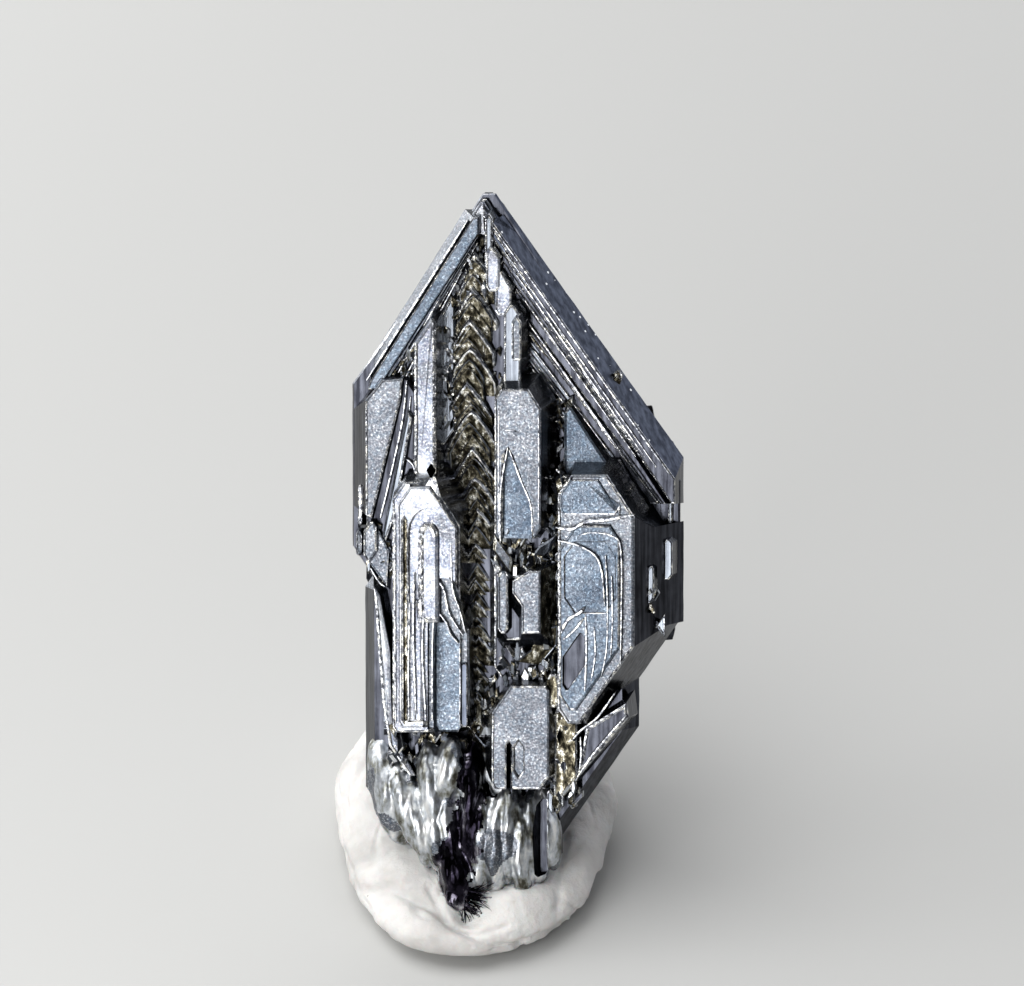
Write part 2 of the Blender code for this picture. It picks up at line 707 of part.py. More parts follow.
def add_socket(group, crystal):
    """The room that the crystal's root takes up in the putty, with a gap all round: a
    stack of hulls, each round one slice of the root with every corner grown by the gap."""
    gap = SOCKET_GAP * MM
    steps = [Vector(step) * gap for step in ((1, 0, 0), (0, 1, 0), (0, 0, 1))]
    for low, high in zip(SOCKET_HEIGHTS, SOCKET_HEIGHTS[1:]):
        mesh = slice_between(crystal.data, low * MM, high * MM)
        for place in [corner.co.copy() for corner in mesh.verts]:
            for step in steps:
                mesh.verts.new(place + step)
                mesh.verts.new(place - step)
        bmesh.ops.delete(mesh, geom=list(mesh.faces), context="FACES_KEEP_BOUNDARY")
        bmesh.ops.delete(mesh, geom=list(mesh.edges), context="EDGES_FACES")
        hull = bmesh.ops.convex_hull(mesh, input=mesh.verts)
        inside = [item for item in hull["geom_interior"] if isinstance(item, bmesh.types.BMVert)]
        bmesh.ops.delete(mesh, geom=inside, context="VERTS")
        keep_solid(group, mesh, Matrix.Identity(4))


def build_putty(parts, cutters, crystal):
    putty = putty_cage(parts)
    carved = new_collection("carved", cutters)
    add_socket(carved, crystal)
    table = add_block_under(carved, Matrix.Scale(MM, 4), Matrix.Identity(4))
    table.location.z = -max(corner.co.z for corner in table.data.vertices)
    boolean(putty, "DIFFERENCE", carved)
    keep_largest_shell(putty)
    putty.data.shade_smooth()
    putty.data.materials.append(material("putty", (0.83, 0.82, 0.79), 0.75, 0.0))
    return putty


def centre_over_origin(pieces):
    """Moves the pieces together, so that the middle of their box is above the origin."""
    corners = [corner.co for piece in pieces for corner in piece.data.vertices]
    for axis in (0, 1):
        low = min(corner[axis] for corner in corners)
        high = max(corner[axis] for corner in corners)
        for piece in pieces:
            piece.location[axis] = -(low + high) / 2


def main():
    clear_scene()
    parts = new_collection("tellurium_specimen", bpy.context.scene.collection)
    cutters = new_collection("cutters", bpy.context.scene.collection)
    crystal = build_crystal(parts, cutters)
    putty = build_putty(parts, cutters, crystal)
    centre_over_origin([crystal, putty])


main()
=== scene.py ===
# %% [markdown]
# # Tellurium specimen
#
# A thumbnail specimen: one skeletal crystal of native tellurium, 20 mm long, held up in a
# pinch of white mounting putty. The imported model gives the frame, which is the real size
# and place of both pieces. This script grows the same two pieces again in fine detail. It
# could work in metres, as the world does, but a crystal is drawn more easily in
# millimetres, which are turned into metres at the end of each piece.

# %% Load the frame
import json
import math
import random

import bmesh
import bpy
from mathutils import Matrix, Vector, noise

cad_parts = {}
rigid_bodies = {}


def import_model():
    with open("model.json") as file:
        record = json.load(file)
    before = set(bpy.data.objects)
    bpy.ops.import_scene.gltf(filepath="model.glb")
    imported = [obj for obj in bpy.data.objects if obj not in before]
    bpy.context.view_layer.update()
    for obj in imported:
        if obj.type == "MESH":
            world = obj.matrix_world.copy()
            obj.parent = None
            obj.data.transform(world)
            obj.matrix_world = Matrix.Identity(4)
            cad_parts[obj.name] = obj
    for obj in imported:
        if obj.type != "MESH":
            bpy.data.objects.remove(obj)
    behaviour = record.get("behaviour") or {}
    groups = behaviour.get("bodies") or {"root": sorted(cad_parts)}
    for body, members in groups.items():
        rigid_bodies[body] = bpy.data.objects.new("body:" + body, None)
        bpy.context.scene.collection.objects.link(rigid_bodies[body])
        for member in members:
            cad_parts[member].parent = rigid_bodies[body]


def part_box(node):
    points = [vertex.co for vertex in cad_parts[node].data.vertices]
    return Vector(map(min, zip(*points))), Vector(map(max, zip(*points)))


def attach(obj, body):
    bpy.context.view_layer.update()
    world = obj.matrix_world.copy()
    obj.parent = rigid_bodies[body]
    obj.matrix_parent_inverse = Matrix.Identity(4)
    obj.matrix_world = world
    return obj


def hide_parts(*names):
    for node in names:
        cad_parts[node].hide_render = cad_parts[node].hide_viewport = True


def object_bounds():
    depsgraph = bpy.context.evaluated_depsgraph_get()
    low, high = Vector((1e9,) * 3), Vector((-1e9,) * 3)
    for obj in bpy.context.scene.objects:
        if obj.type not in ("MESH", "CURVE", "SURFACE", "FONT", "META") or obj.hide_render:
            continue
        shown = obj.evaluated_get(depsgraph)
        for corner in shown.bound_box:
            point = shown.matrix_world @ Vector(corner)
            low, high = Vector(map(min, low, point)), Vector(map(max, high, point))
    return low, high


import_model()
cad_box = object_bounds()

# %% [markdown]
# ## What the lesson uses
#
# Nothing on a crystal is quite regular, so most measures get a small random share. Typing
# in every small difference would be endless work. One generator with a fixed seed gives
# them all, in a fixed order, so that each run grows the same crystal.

MM = 0.001
crystal_low, crystal_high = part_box("tellurium_crystal")
putty_low, putty_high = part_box("putty_base")
growth = random.Random(52)
for name, size in (("frame", cad_box[1] - cad_box[0]), ("crystal", crystal_high - crystal_low)):
    print(name, "measures, mm:", [round(side / MM, 2) for side in size])

# %% [markdown]
# ## The crystal's own frame
#
# Tellurium is trigonal: it grows as a three-sided or six-sided column with a pointed end.
# The specimen leans back and is turned a little, so nothing in it is level with the world.
# The shapes could be drawn in world axes, but every growth line would then be a slanting
# one. It is simpler to draw them in the crystal's frame (u across, v along the column, w
# forward), where they are straight, and to turn the finished piece into the world once.
# Outlines are given as the front view shows them: x to the right, y up, in millimetres.

# %% The crystal's frame
LEAN_BACK = math.radians(26.0)
TURN = math.radians(10.0)
FRONT_VIEW_RISE = math.radians(36.0)
FRONT_VIEW_UP = Vector((0.0, math.sin(FRONT_VIEW_RISE), math.cos(FRONT_VIEW_RISE)))
AXIS_FOOT = Vector((-0.783, -3.345, 0.6))


def crystal_frame():
    """The matrix from the crystal's frame to the world, both in millimetres."""
    right = Vector((1.0, 0.0, 0.0))
    up = Vector((0.0, math.sin(LEAN_BACK), math.cos(LEAN_BACK)))
    front = Vector((0.0, -math.cos(LEAN_BACK), math.sin(LEAN_BACK)))
    across = math.cos(TURN) * right + math.sin(TURN) * front
    forward = math.cos(TURN) * front - math.sin(TURN) * right
    made = Matrix((across, up, forward)).transposed().to_4x4()
    made.translation = AXIS_FOOT
    return made


def from_front_view(x, y, level):
    """Where in the crystal's frame a point of the front view lies, at this level."""
    tilt = FRONT_VIEW_RISE - LEAN_BACK
    across = (x + level * math.sin(TURN)) / math.cos(TURN)
    towards = across * math.sin(TURN) + level * math.cos(TURN)
    return across, (y + towards * math.sin(tilt)) / math.cos(tilt)


print("column leans back by", round(math.degrees(LEAN_BACK)), "degrees from", tuple(AXIS_FOOT))

# %% [markdown]
# ## Helpers for materials
#
# Colours are written as the sRGB hex a painter would pick, and one function turns them
# into the linear values that shaders work in. Another adds a node. Its inputs are given by
# name or number, and the stops of a colour ramp are a setting like any other. A function
# for each kind of node would be shorter to call, but this way a material reads from top to
# bottom in Blender's own words. Patterns are laid out in millimetres, along the axes of
# their piece.

# %% Helpers for materials
def linear(hex_colour):
    """An sRGB hex colour as linear red, green, blue and alpha."""
    values = [int(hex_colour[i:i + 2], 16) / 255 for i in (1, 3, 5)]
    turned = [v / 12.92 if v <= 0.04045 else ((v + 0.055) / 1.055) ** 2.4 for v in values]
    return (*turned, 1.0)


def new_material(name):
    """A new material, its node tree and its shader."""
    made = bpy.data.materials.new(name)
    made.use_nodes = True
    return made, made.node_tree, made.node_tree.nodes["Principled BSDF"]


def set_inputs(node, inputs):
    """Links each input that is a socket, or a node's first output, and sets the others."""
    for key, value in inputs.items():
        if isinstance(value, bpy.types.Node):
            value = value.outputs[0]
        if isinstance(value, bpy.types.NodeSocket):
            node.id_data.links.new(value, node.inputs[key])
        else:
            node.inputs[key].default_value = value


def add_node(tree, kind, inputs, stops=(), **settings):
    """Adds a node with its settings, its inputs and, for a colour ramp, its stops."""
    node = tree.nodes.new(kind)
    for key, value in settings.items():
        setattr(node, key, value)
    if stops:
        while len(node.color_ramp.elements) < len(stops):
            node.color_ramp.elements.new(0.5)
        for element, (position, colour) in zip(node.color_ramp.elements, stops):
            element.position = position
            element.color = linear(colour)
    set_inputs(node, inputs)
    return node


def in_millimetres(tree, turn=(0.0, 0.0, 0.0)):
    """The object's own coordinates in millimetres, turned to the axes of a piece."""
    place = add_node(tree, "ShaderNodeTexCoord", {})
    return add_node(tree, "ShaderNodeMapping", {"Vector": place.outputs["Object"],
                                                "Rotation": turn, "Scale": (1.0 / MM,) * 3})


print("half grey, #808080, is", round(linear("#808080")[0], 3), "of white in linear light")

# %% [markdown]
# ## Frosted growth faces
#
# The material is native tellurium, a silvery semimetal. These faces grew from hot vapour or
# water and were then etched, which left a frost: pale metal with soft clouds, and grains
# that flash one by one. The grains are a real bump and gloss, and the white of the
# brightest ones is a painted glint. A thin tarnish film tints it a little blue or warm in
# patches. A painted texture would fix the pattern to one face. Noise along the crystal's
# own axes covers every face alike: one for clouds of about a millimetre, one for the
# grains, one for the film. Real etch grains are 0.01 mm across or less, and they are drawn
# at about 0.05 mm, as coarse as they need to show. Only the middle shades, the strength of
# the sparkle and the gloss differ between the three frosts used here. The lightest of them
# is painted light: the same frost, made lighter for the faces that catch more light.

# %% Frosted growth faces
GRAIN = 0.05
GRAINS_PER_MM = 0.75 / GRAIN
GRAIN_DEPTH = 0.025 * MM
CLOUDS_PER_MM = 0.9
FILM_PATCHES_PER_MM = 0.4 / GRAIN
FILM_STRENGTH = 0.45
GLOSS_SPAN = 0.1
CRYSTAL_TURN = crystal_frame().to_3x3().inverted().to_euler()
SHADE_STOPS = (0.34, 0.5, 0.64)
# Grain shades; the whitest of them is a painted glint on the brightest grains.
GRAIN_SHADES_AND_GLINTS = ((0.36, "#4B4F5A"), (0.5, "#80838A"), (0.6, "#A3A5A8"), (0.69, "#FFFFFF"))
FILM_TINTS = ((0.37, "#84949C"), (0.5, "#8A8A86"), (0.63, "#9A918A"))


def frost(name, shades, sparkle, roughness):
    """Etched tellurium: clouds in three shades, and grains that sparkle this strongly."""
    made, tree, shader = new_material(name)
    mm = in_millimetres(tree, CRYSTAL_TURN)
    cloud = add_node(tree, "ShaderNodeTexNoise",
                     {"Vector": mm, "Scale": CLOUDS_PER_MM, "Detail": 5.0, "Roughness": 0.6})
    grain = add_node(tree, "ShaderNodeTexNoise",
                     {"Vector": mm, "Scale": GRAINS_PER_MM, "Detail": 2.0, "Roughness": 0.8})
    patch = add_node(tree, "ShaderNodeTexNoise",
                     {"Vector": mm, "Scale": FILM_PATCHES_PER_MM, "Detail": 1.0})
    base = add_node(tree, "ShaderNodeValToRGB", {0: cloud}, tuple(zip(SHADE_STOPS, shades)))
    flecks = add_node(tree, "ShaderNodeValToRGB", {0: grain}, GRAIN_SHADES_AND_GLINTS)
    film = add_node(tree, "ShaderNodeValToRGB", {0: patch}, FILM_TINTS)
    grained = add_node(tree, "ShaderNodeMix", {0: sparkle, 6: base, 7: flecks},
                       data_type="RGBA", blend_type="OVERLAY")
    tinted = add_node(tree, "ShaderNodeMix", {0: FILM_STRENGTH, 6: grained.outputs[2], 7: film},
                      data_type="RGBA", blend_type="SOFT_LIGHT")
    rough = add_node(tree, "ShaderNodeMapRange",
                     {"Value": grain, "To Min": roughness + GLOSS_SPAN,
                      "To Max": roughness - GLOSS_SPAN})
    bump = add_node(tree, "ShaderNodeBump",
                    {"Strength": 0.6, "Distance": GRAIN_DEPTH, "Height": grain})
    set_inputs(shader, {"Base Color": tinted.outputs[2], "Roughness": rough, "Normal": bump,
                        "Metallic": 1.0})
    return made


print("grains of the frost:", round(GRAINS_PER_MM), "a mm, clouds:", CLOUDS_PER_MM, "a mm")

# %% [markdown]
# ## Mirror walls
#
# The material is native tellurium again, on its prism walls. It splits and grows perfectly
# flat along them, so they are natural mirrors with faint growth streaks along the column.
# To the eye they go nearly black when they look away from the light. How dark a mirror
# looks depends on what it shows, and here that is a pale table, so most of the darkness is
# painted shade in the colour of the metal: a grey copy of the wall for walls that face the
# light, and darker copies for walls that face away. The real streaks are finer than a hair,
# and are drawn about 0.15 mm apart and 2 mm long so that they show. Dust lies on the
# biggest wall: a Voronoi pattern gives single specks where its nearest point is very close.

# %% Mirror walls
STREAKS_PER_MM = (7.0, 0.5, 7.0)  # across, along and out of the column
STREAK_DEPTH = 0.02 * MM
CLOUDY_SHARE = 0.3
WALL_CLOUDS_PER_MM = 1.6
DUST_PER_MM = 2.6
DUST_COLOUR = "#E6E6E2"


def mirror_wall(name, dark, light, roughness, dust=0.0):
    """A streaky mirror between two colours. Dust is how far a speck reaches, as a share of
    the space between specks."""
    made, tree, shader = new_material(name)
    mm = in_millimetres(tree, CRYSTAL_TURN)
    along = add_node(tree, "ShaderNodeMapping", {"Vector": mm, "Scale": STREAKS_PER_MM})
    streaks = add_node(tree, "ShaderNodeTexNoise", {"Vector": along, "Scale": 1.0, "Detail": 4.0})
    cloud = add_node(tree, "ShaderNodeTexNoise",
                     {"Vector": mm, "Scale": WALL_CLOUDS_PER_MM, "Detail": 5.0,
                      "Roughness": 0.6})
    both = add_node(tree, "ShaderNodeMix", {0: CLOUDY_SHARE, 2: streaks, 3: cloud},
                    data_type="FLOAT")
    colour = add_node(tree, "ShaderNodeValToRGB", {0: both}, ((0.4, dark), (0.62, light)))
    cells = add_node(tree, "ShaderNodeTexVoronoi", {"Vector": mm, "Scale": DUST_PER_MM})
    speck = add_node(tree, "ShaderNodeMath", {0: cells, 1: dust}, operation="LESS_THAN")
    dusty = add_node(tree, "ShaderNodeMix", {0: speck, 6: colour, 7: linear(DUST_COLOUR)},
                     data_type="RGBA")
    bump = add_node(tree, "ShaderNodeBump",
                    {"Strength": 0.5, "Distance": STREAK_DEPTH, "Height": streaks})
    set_inputs(shader, {"Base Color": dusty.outputs[2], "Normal": bump, "Metallic": 1.0,
                        "Roughness": roughness})
    return made


print("streaks of the mirror walls:", STREAKS_PER_MM[0], "a mm, dust:", DUST_PER_MM, "a mm")

# %% [markdown]
# ## Edges, hollows and the root
#
# All of these are native tellurium too, and differ in how their surface came about. The
# edges are growth crests, a little rounded: they catch every light, and their near-white
# colour is a painted highlight. The hollows are rough growth steps: their nearly black
# ground is painted shade, and their olive-gold glints are painted reflections between the
# steps. The root is half dissolved: smooth and glassy, light grey in most places, and
# purple-black along a streak where the longest lobe runs down into the putty. Each could
# have one noise for its colour and one for its relief. One noise does both here, so that
# the high places are the light ones, a painted highlight on each bump with painted shade
# between them, and its cells are 0.15 to 0.45 mm wide, as the real glints and ripples are.

# %% Edges, hollows and the root
# Edge colours up to near white: a painted highlight on the rounded crests.
EDGE_SHADES = ((0.34, "#55575E"), (0.5, "#B9BBC0"), (0.66, "#FBF8EE"))
# The near-black ground is painted shade in the hollows, and the olive and near-white stops are
# painted reflections and glints.
OLIVE_SHADE_AND_GLINTS = ((0.36, "#171611"), (0.47, "#4C473A"), (0.55, "#938D7A"), (0.63, "#F4F2EA"))
PALE_GLASS = ((0.33, "#4A473E"), (0.41, "#8B8C86"), (0.5, "#BCC1C7"), (0.64, "#F0F0EE"))
DRAWN_OUT = 0.55
PURPLE_BLACK = ((0.4, "#09080C"), (0.53, "#24212B"), (0.62, "#66636D"), (0.7, "#B9B8BC"))


def rough_metal(name, shades, stretch, texture, strength, depth, roughness):
    """Metal whose colour and relief, this many millimetres deep, come from one noise."""
    made, tree, shader = new_material(name)
    mm = in_millimetres(tree, CRYSTAL_TURN)
    along = add_node(tree, "ShaderNodeMapping", {"Vector": mm, "Scale": (1.0, stretch, 1.0)})
    grain = add_node(tree, "ShaderNodeTexNoise", {"Vector": along, **texture})
    # The colour follows the relief: lighter on high places, a painted highlight, and darker in low
    # ones, painted shade.
    colour = add_node(tree, "ShaderNodeValToRGB", {0: grain}, shades)
    bump = add_node(tree, "ShaderNodeBump",
                    {"Strength": strength, "Distance": depth * MM, "Height": grain})
    set_inputs(shader, {"Base Color": colour, "Normal": bump, "Metallic": 1.0,
                        "Roughness": roughness})
    return made


def drawn_out_metal(name, cells_per_mm, shades, strength, roughness):
    """The same, with its pattern drawn out along the column."""
    texture = {"Scale": cells_per_mm, "Detail": 5.0, "Roughness": 0.62}
    return rough_metal(name, shades, DRAWN_OUT, texture, strength, 0.05, roughness)


FROSTED, LIT_FROST, PANEL, DARK, SLATE, GREY, BRIGHT, GOLDEN, GLASSY, MURKY = range(10)
finishes = {
    FROSTED: frost("tellurium_frosted", ("#878B91", "#9EA1A6", "#B7B9BC"), 0.8, 0.36),
    # Painted light: the same frost made lighter, for faces that catch more light.
    LIT_FROST: frost("tellurium_frost_painted_lit", ("#ADAEB2", "#C3C4C8", "#D9DADC"), 0.85, 0.34),
    PANEL: frost("tellurium_blue_frost", ("#717C89", "#88929D", "#A0A8B1"), 0.75, 0.34),
    DARK: mirror_wall("tellurium_dark_wall", "#1F2025", "#45474E", 0.17),
    SLATE: mirror_wall("tellurium_slate_wall", "#333740", "#555A65", 0.22, dust=0.1),
    GREY: mirror_wall("tellurium_grey_wall", "#5A5E65", "#7F848B", 0.24),
    BRIGHT: rough_metal("tellurium_bright_edge", EDGE_SHADES, 1.0,
                        {"Scale": 7.0, "Detail": 3.0}, 0.7, 0.04, 0.26),
    GOLDEN: drawn_out_metal("tellurium_olive_painted_shade", 6.0, OLIVE_SHADE_AND_GLINTS, 0.9, 0.26),
    GLASSY: drawn_out_metal("tellurium_glassy_root", 2.2, PALE_GLASS, 0.5, 0.36),
    MURKY: drawn_out_metal("tellurium_dark_root", 2.5, PURPLE_BLACK, 0.4, 0.15),
}
print("finishes:", [finish.name for finish in finishes.values()])

# %% [markdown]
# ## Outlines
#
# Every tablet of the crystal has upright sides and corners cut along the same two slants,
# the slants of the pointed end. An outline is therefore four sides and four cuts. A ruler
# line would look machined, so each side is broken into short lengths that stray by about a
# hundredth of a millimetre, as growth steps do. Noise does that and gives the same wobble
# each run.

# %% Outlines
SLANT_LEFT = math.radians(34.7)
SLANT_RIGHT = math.radians(32.8)
EDGE_STEP = 0.42
EDGE_STRAY = 0.014
TOUCHING = 1e-6
NEARLY_STRAIGHT = 0.02
STRAY_CELLS_PER_MM = 1.7


def cut_outline(left, right, bottom, top, cuts):
    """Clockwise points, and the name of the edge that leaves each. The cuts are the widths
    of the top left, top right, bottom right and bottom left corners."""
    top_left, top_right, bottom_right, bottom_left = cuts
    corners = [
        ((left + top_left, top), "top"),
        ((right - top_right, top), "top_right"),
        ((right, top - top_right / math.tan(SLANT_RIGHT)), "right"),
        ((right, bottom + bottom_right / math.tan(SLANT_LEFT)), "bottom_right"),
        ((right - bottom_right, bottom), "bottom"),
        ((left + bottom_left, bottom), "bottom_left"),
        ((left, bottom + bottom_left / math.tan(SLANT_RIGHT)), "left"),
        ((left, top - top_left / math.tan(SLANT_LEFT)), "top_left"),
    ]
    kept = []
    for index, (point, edge) in enumerate(corners):
        if math.dist(point, corners[(index + 1) % len(corners)][0]) > TOUCHING:
            kept.append((point, edge))
    return [point for point, edge in kept], [edge for point, edge in kept]


def strayed(points, edges):
    """The outline with its sides broken into short lengths that wander a little."""
    fine_points = []
    fine_edges = []
    seed = growth.uniform(0.0, 50.0)
    for index, (point, edge) in enumerate(zip(points, edges)):
        start = Vector(point)
        end = Vector(points[(index + 1) % len(points)])
        count = max(1, round((end - start).length / EDGE_STEP))
        side = Vector((start.y - end.y, end.x - start.x)).normalized()
        for step in range(count):
            place = start.lerp(end, step / count)
            if step:
                place += side * EDGE_STRAY * noise.noise((place.x * STRAY_CELLS_PER_MM,
                                                        place.y * STRAY_CELLS_PER_MM, seed))
            fine_points.append(tuple(place))
            fine_edges.append(edge)
    return fine_points, fine_edges


def spread(points, distances):
    """A clockwise outline, its edges moved outwards by one distance or by one each."""
    count = len(points)
    if isinstance(distances, float):
        distances = [distances] * count
    lines = []
    for index in range(count):
        start = Vector(points[index])
        along = (Vector(points[(index + 1) % count]) - start).normalized()
        lines.append((start + Vector((-along.y, along.x)) * distances[index], along))
    moved = []
    for index in range(count):
        before, along_before = lines[index - 1]
        after, along_after = lines[index]
        cross = along_before.cross(along_after)
        if abs(cross) < NEARLY_STRAIGHT:
            moved.append(tuple(after))
        else:
            step = (after - before).cross(along_after) / cross
            moved.append(tuple(before + along_before * step))
    return moved


print("corners of a tablet:", len(cut_outline(0.0, 2.0, 0.0, 5.0, (0.3,) * 4)[0]))

# %% [markdown]
# ## Finishes as numbers
#
# One mesh can wear several materials, one number a face. The solids below number their
# faces as they are made, and the Boolean that joins them keeps the numbers: growth faces
# are frosted, walls to the left are grey and walls to the right nearly black, which is
# painted shade for light from the left, every edge is a thin bright strip, a painted
# highlight, and the hollows are olive-gold over painted shade. That could also be painted
# by the face's direction in the shader, but a number says exactly which strip is an edge.
# The solids wait in four groups: what grew, the hollows to cut into it, what stands in them
# or on the faces, and what is cut away at the end.

# %% Finishes as numbers
SIDES = ("top", "top_right", "right", "bottom_right", "bottom", "bottom_left", "left", "top_left")
# Painted shade by side: the left walls get the grey mirror, the right walls and the bottom the
# darker ones.
WALLS = dict.fromkeys(SIDES, GREY)
WALLS.update(top_right=SLATE, right=DARK, bottom_right=DARK, bottom=DARK)
WOBBLE = 0.012


def new_group(name):
    made = bpy.data.collections.new(name)
    bpy.context.scene.collection.children.link(made)
    return made


def keep_solid(group, mesh):
    """Adds a finished solid to its group, shifted a hair: no two faces are quite level."""
    shift = Vector([growth.uniform(-WOBBLE, WOBBLE) for axis in range(3)])
    bmesh.ops.translate(mesh, vec=shift, verts=mesh.verts)
    bmesh.ops.recalc_face_normals(mesh, faces=mesh.faces)
    data = bpy.data.meshes.new(group.name)
    mesh.to_mesh(data)
    mesh.free()
    for number in sorted(finishes):
        data.materials.append(finishes[number])
    made = bpy.data.objects.new(group.name, data)
    made.hide_render = True
    group.objects.link(made)
    return made


def loft(group, rings, bands, caps):
    """A closed solid through rings of (u, v, w). Each band between two rings has a finish
    number for each side, and caps has the numbers of the two ends."""
    mesh = bmesh.new()
    rows = [[mesh.verts.new(point) for point in ring] for ring in rings]
    mesh.faces.new(rows[0]).material_index = caps[0]
    mesh.faces.new(list(reversed(rows[-1]))).material_index = caps[1]
    count = len(rings[0])
    for upper, lower, band in zip(rows, rows[1:], bands):
        for index in range(count):
            after = (index + 1) % count
            face = mesh.faces.new((upper[after], upper[index], lower[index], lower[after]))
            face.material_index = band[index]
    return keep_solid(group, mesh)


grown, hollows, standing, away = map(new_group, ("grown", "hollows", "standing", "away"))
print("walls:", {edge: finishes[number].name for edge, number in WALLS.items()})

# %% [markdown]
# ## Tablets, windows and beads
#
# Three shapes make nearly everything on this crystal. A tablet is a plate that stands
# proud, with a narrow rounded edge all round: the edge is where a real one catches the
# light, so it is real geometry here, three strips wide, and the face lies a hair lower than
# the crest. A window is the same upside down, cut into a face, which is how a hopper
# crystal's hollow steps look. A bead is a thin raised line, the crest of a growth step that
# wanders over a face. A Bevel modifier on the joined piece would be less work, but it
# breaks where so many edges meet.

# %% Tablets
PLATE_FLARE = 0.14
PRISM_FLARE = 0.577
POINT_FLARE = 0.461
PLATE_FLARES = dict.fromkeys(SIDES, PLATE_FLARE)
RIM = 0.075
EDGE_SHINE = 0.72
SINK = 0.016
CREST_INSET = 0.6
SHOULDER = (0.15, 0.12)
EDGE_DROP = 0.55


def placed(points, level, dip=0.0, lean=0.0):
    """The outline at a level. Dip is how far it goes back for each millimetre down from
    its highest point, and lean for each millimetre to the right of its middle."""
    highest = max(v for u, v in points)
    middle = 0.5 * (min(u for u, v in points) + max(u for u, v in points))
    return [(u, v, level - dip * (highest - v) - lean * (u - middle)) for u, v in points]


def tablet(group, outline, level, depth, flares=None, dip=0.0, lean=0.0, rim=RIM, face=FROSTED,
           edge=BRIGHT, walls=None, shine=EDGE_SHINE):
    """A plate with this outline, its rounded edge, and walls that widen with depth."""
    points, edges = strayed(*outline)
    sizes = dict(PLATE_FLARES, **(flares or {}))
    wall_of = dict(WALLS, **(walls or {}))
    outer = [from_front_view(x, y, level) for x, y in points]
    rings = []
    for inset, drop in ((rim, SINK), (CREST_INSET * rim, 0.0),
                        (SHOULDER[0] * rim, SHOULDER[1] * rim), (0.0, EDGE_DROP * rim)):
        rings.append(placed(spread(outer, -inset), level - drop, dip, lean))
    back = spread(outer, [sizes[side] * depth for side in edges])
    rings.append(placed(back, level - depth, dip, lean))
    # Painted highlight: most edges get the bright edge finish on their rounded strips, and the rest
    # keep the face's finish.
    edge_highlights = {side: edge if growth.random() < shine else face for side in dict.fromkeys(edges)}
    rounded = [edge_highlights[side] for side in edges]
    loft(group, rings, [rounded] * 3 + [[wall_of[side] for side in edges]], (face, DARK))


def plate(group, left, right, bottom, top, cuts, level, depth, flares=None, **looks):
    """A tablet with upright sides, and corners cut by these widths."""
    tablet(group, cut_outline(left, right, bottom, top, cuts), level, depth, flares, **looks)


print("a tablet's edge is", RIM, "mm wide, and its walls widen by", PLATE_FLARE, "mm a mm")

# %% Windows and arches
WINDOW_LIP = 0.045
LIP_RISE = 0.5
WINDOW_TAPER = 0.12
ARCH_STEPS = 8
ARCH_RISE = 1.3


def turned_round(ring):
    """A ring turned half round about the column, from the front to the back."""
    return [(-u, v, -w) for u, v, w in ring]


def window(group, outline, level, depth, lip=WINDOW_LIP, face=FROSTED, wall=DARK, rear=False):
    """A hollow to cut into a face that lies at this level, with a bright lip round it."""
    points, edges = strayed(*outline)
    outer = points if rear else [from_front_view(x, y, level) for x, y in points]
    rings = [
        placed(spread(outer, lip + LIP_RISE), level + LIP_RISE),
        placed(outer, level - lip),
        placed(spread(outer, -WINDOW_TAPER * depth), level - depth),
    ]
    if rear:
        rings = [turned_round(ring) for ring in rings]
    # The lip's bright finish is a painted highlight, and the dark wall is painted shade in the
    # hollow.
    loft(group, rings, [[BRIGHT] * len(outer), [wall] * len(outer)], (BRIGHT, face))


def arched(left, right, bottom, top):
    """An outline with upright sides and a rounded top."""
    half, middle = 0.5 * (right - left), 0.5 * (left + right)
    points, edges = [], []
    for step in range(ARCH_STEPS + 1):
        angle = math.pi * (1.0 - step / ARCH_STEPS)
        fall = ARCH_RISE * half * (1.0 - math.sin(angle))
        points.append((middle + half * math.cos(angle), top - fall))
        edges.append("top_left" if step < ARCH_STEPS / 2 else "top_right")
    edges[-1] = "right"
    return points + [(right, bottom), (left, bottom)], edges + ["bottom", "left"]


print("points of an arch:", len(arched(-1.0, 1.0, 0.0, 3.0)[0]))

# %% Beads
BEAD_END = 0.35
BEAD_TAPERS = 5.0
BEAD_CREST = 0.45


def curve_through(points, steps=5):
    """A smooth line through the points (Catmull-Rom)."""
    padded = [points[0], *points, points[-1]]
    line = []
    for before, start, end, after in zip(padded, padded[1:], padded[2:], padded[3:]):
        for step in range(steps):
            t = step / steps
            line.append(tuple(
                0.5 * (2 * b + (c - a) * t + (2 * a - 5 * b + 4 * c - d) * t**2
                       + (3 * b - a - 3 * c + d) * t**3)
                for a, b, c, d in zip(before, start, end, after)
            ))
    return line + [tuple(points[-1])]


def bead(group, points, levels, width=0.07, height=0.035, finish=BRIGHT, foot=0.15):
    """A thin raised line along points of the front view, tapering at both ends. Its level
    runs evenly from the first to the second of levels."""
    line = curve_through(points)
    path = [Vector(from_front_view(x, y, levels[0])) for x, y in line]
    rings = []
    for index, place in enumerate(path):
        ahead = path[min(index + 1, len(path) - 1)] - path[max(index - 1, 0)]
        side = Vector((-ahead.y, ahead.x)).normalized()
        share = index / (len(path) - 1)
        taper = BEAD_END + (1.0 - BEAD_END) * min(1.0, BEAD_TAPERS * min(share, 1.0 - share))
        half = 0.5 * width * taper
        level = levels[0] + (levels[1] - levels[0]) * share
        crest = level + height * taper
        section = ((half, level - foot), (half, level), (BEAD_CREST * half, crest),
                   (-BEAD_CREST * half, crest), (-half, level), (-half, level - foot))
        rings.append([(*(place + side * reach), w) for reach, w in section])
    loft(group, rings, [[finish] * len(section)] * (len(rings) - 1), (finish, finish))


print("a bead through 4 points has", len(curve_through([(0.0, y) for y in range(4)])), "rings")

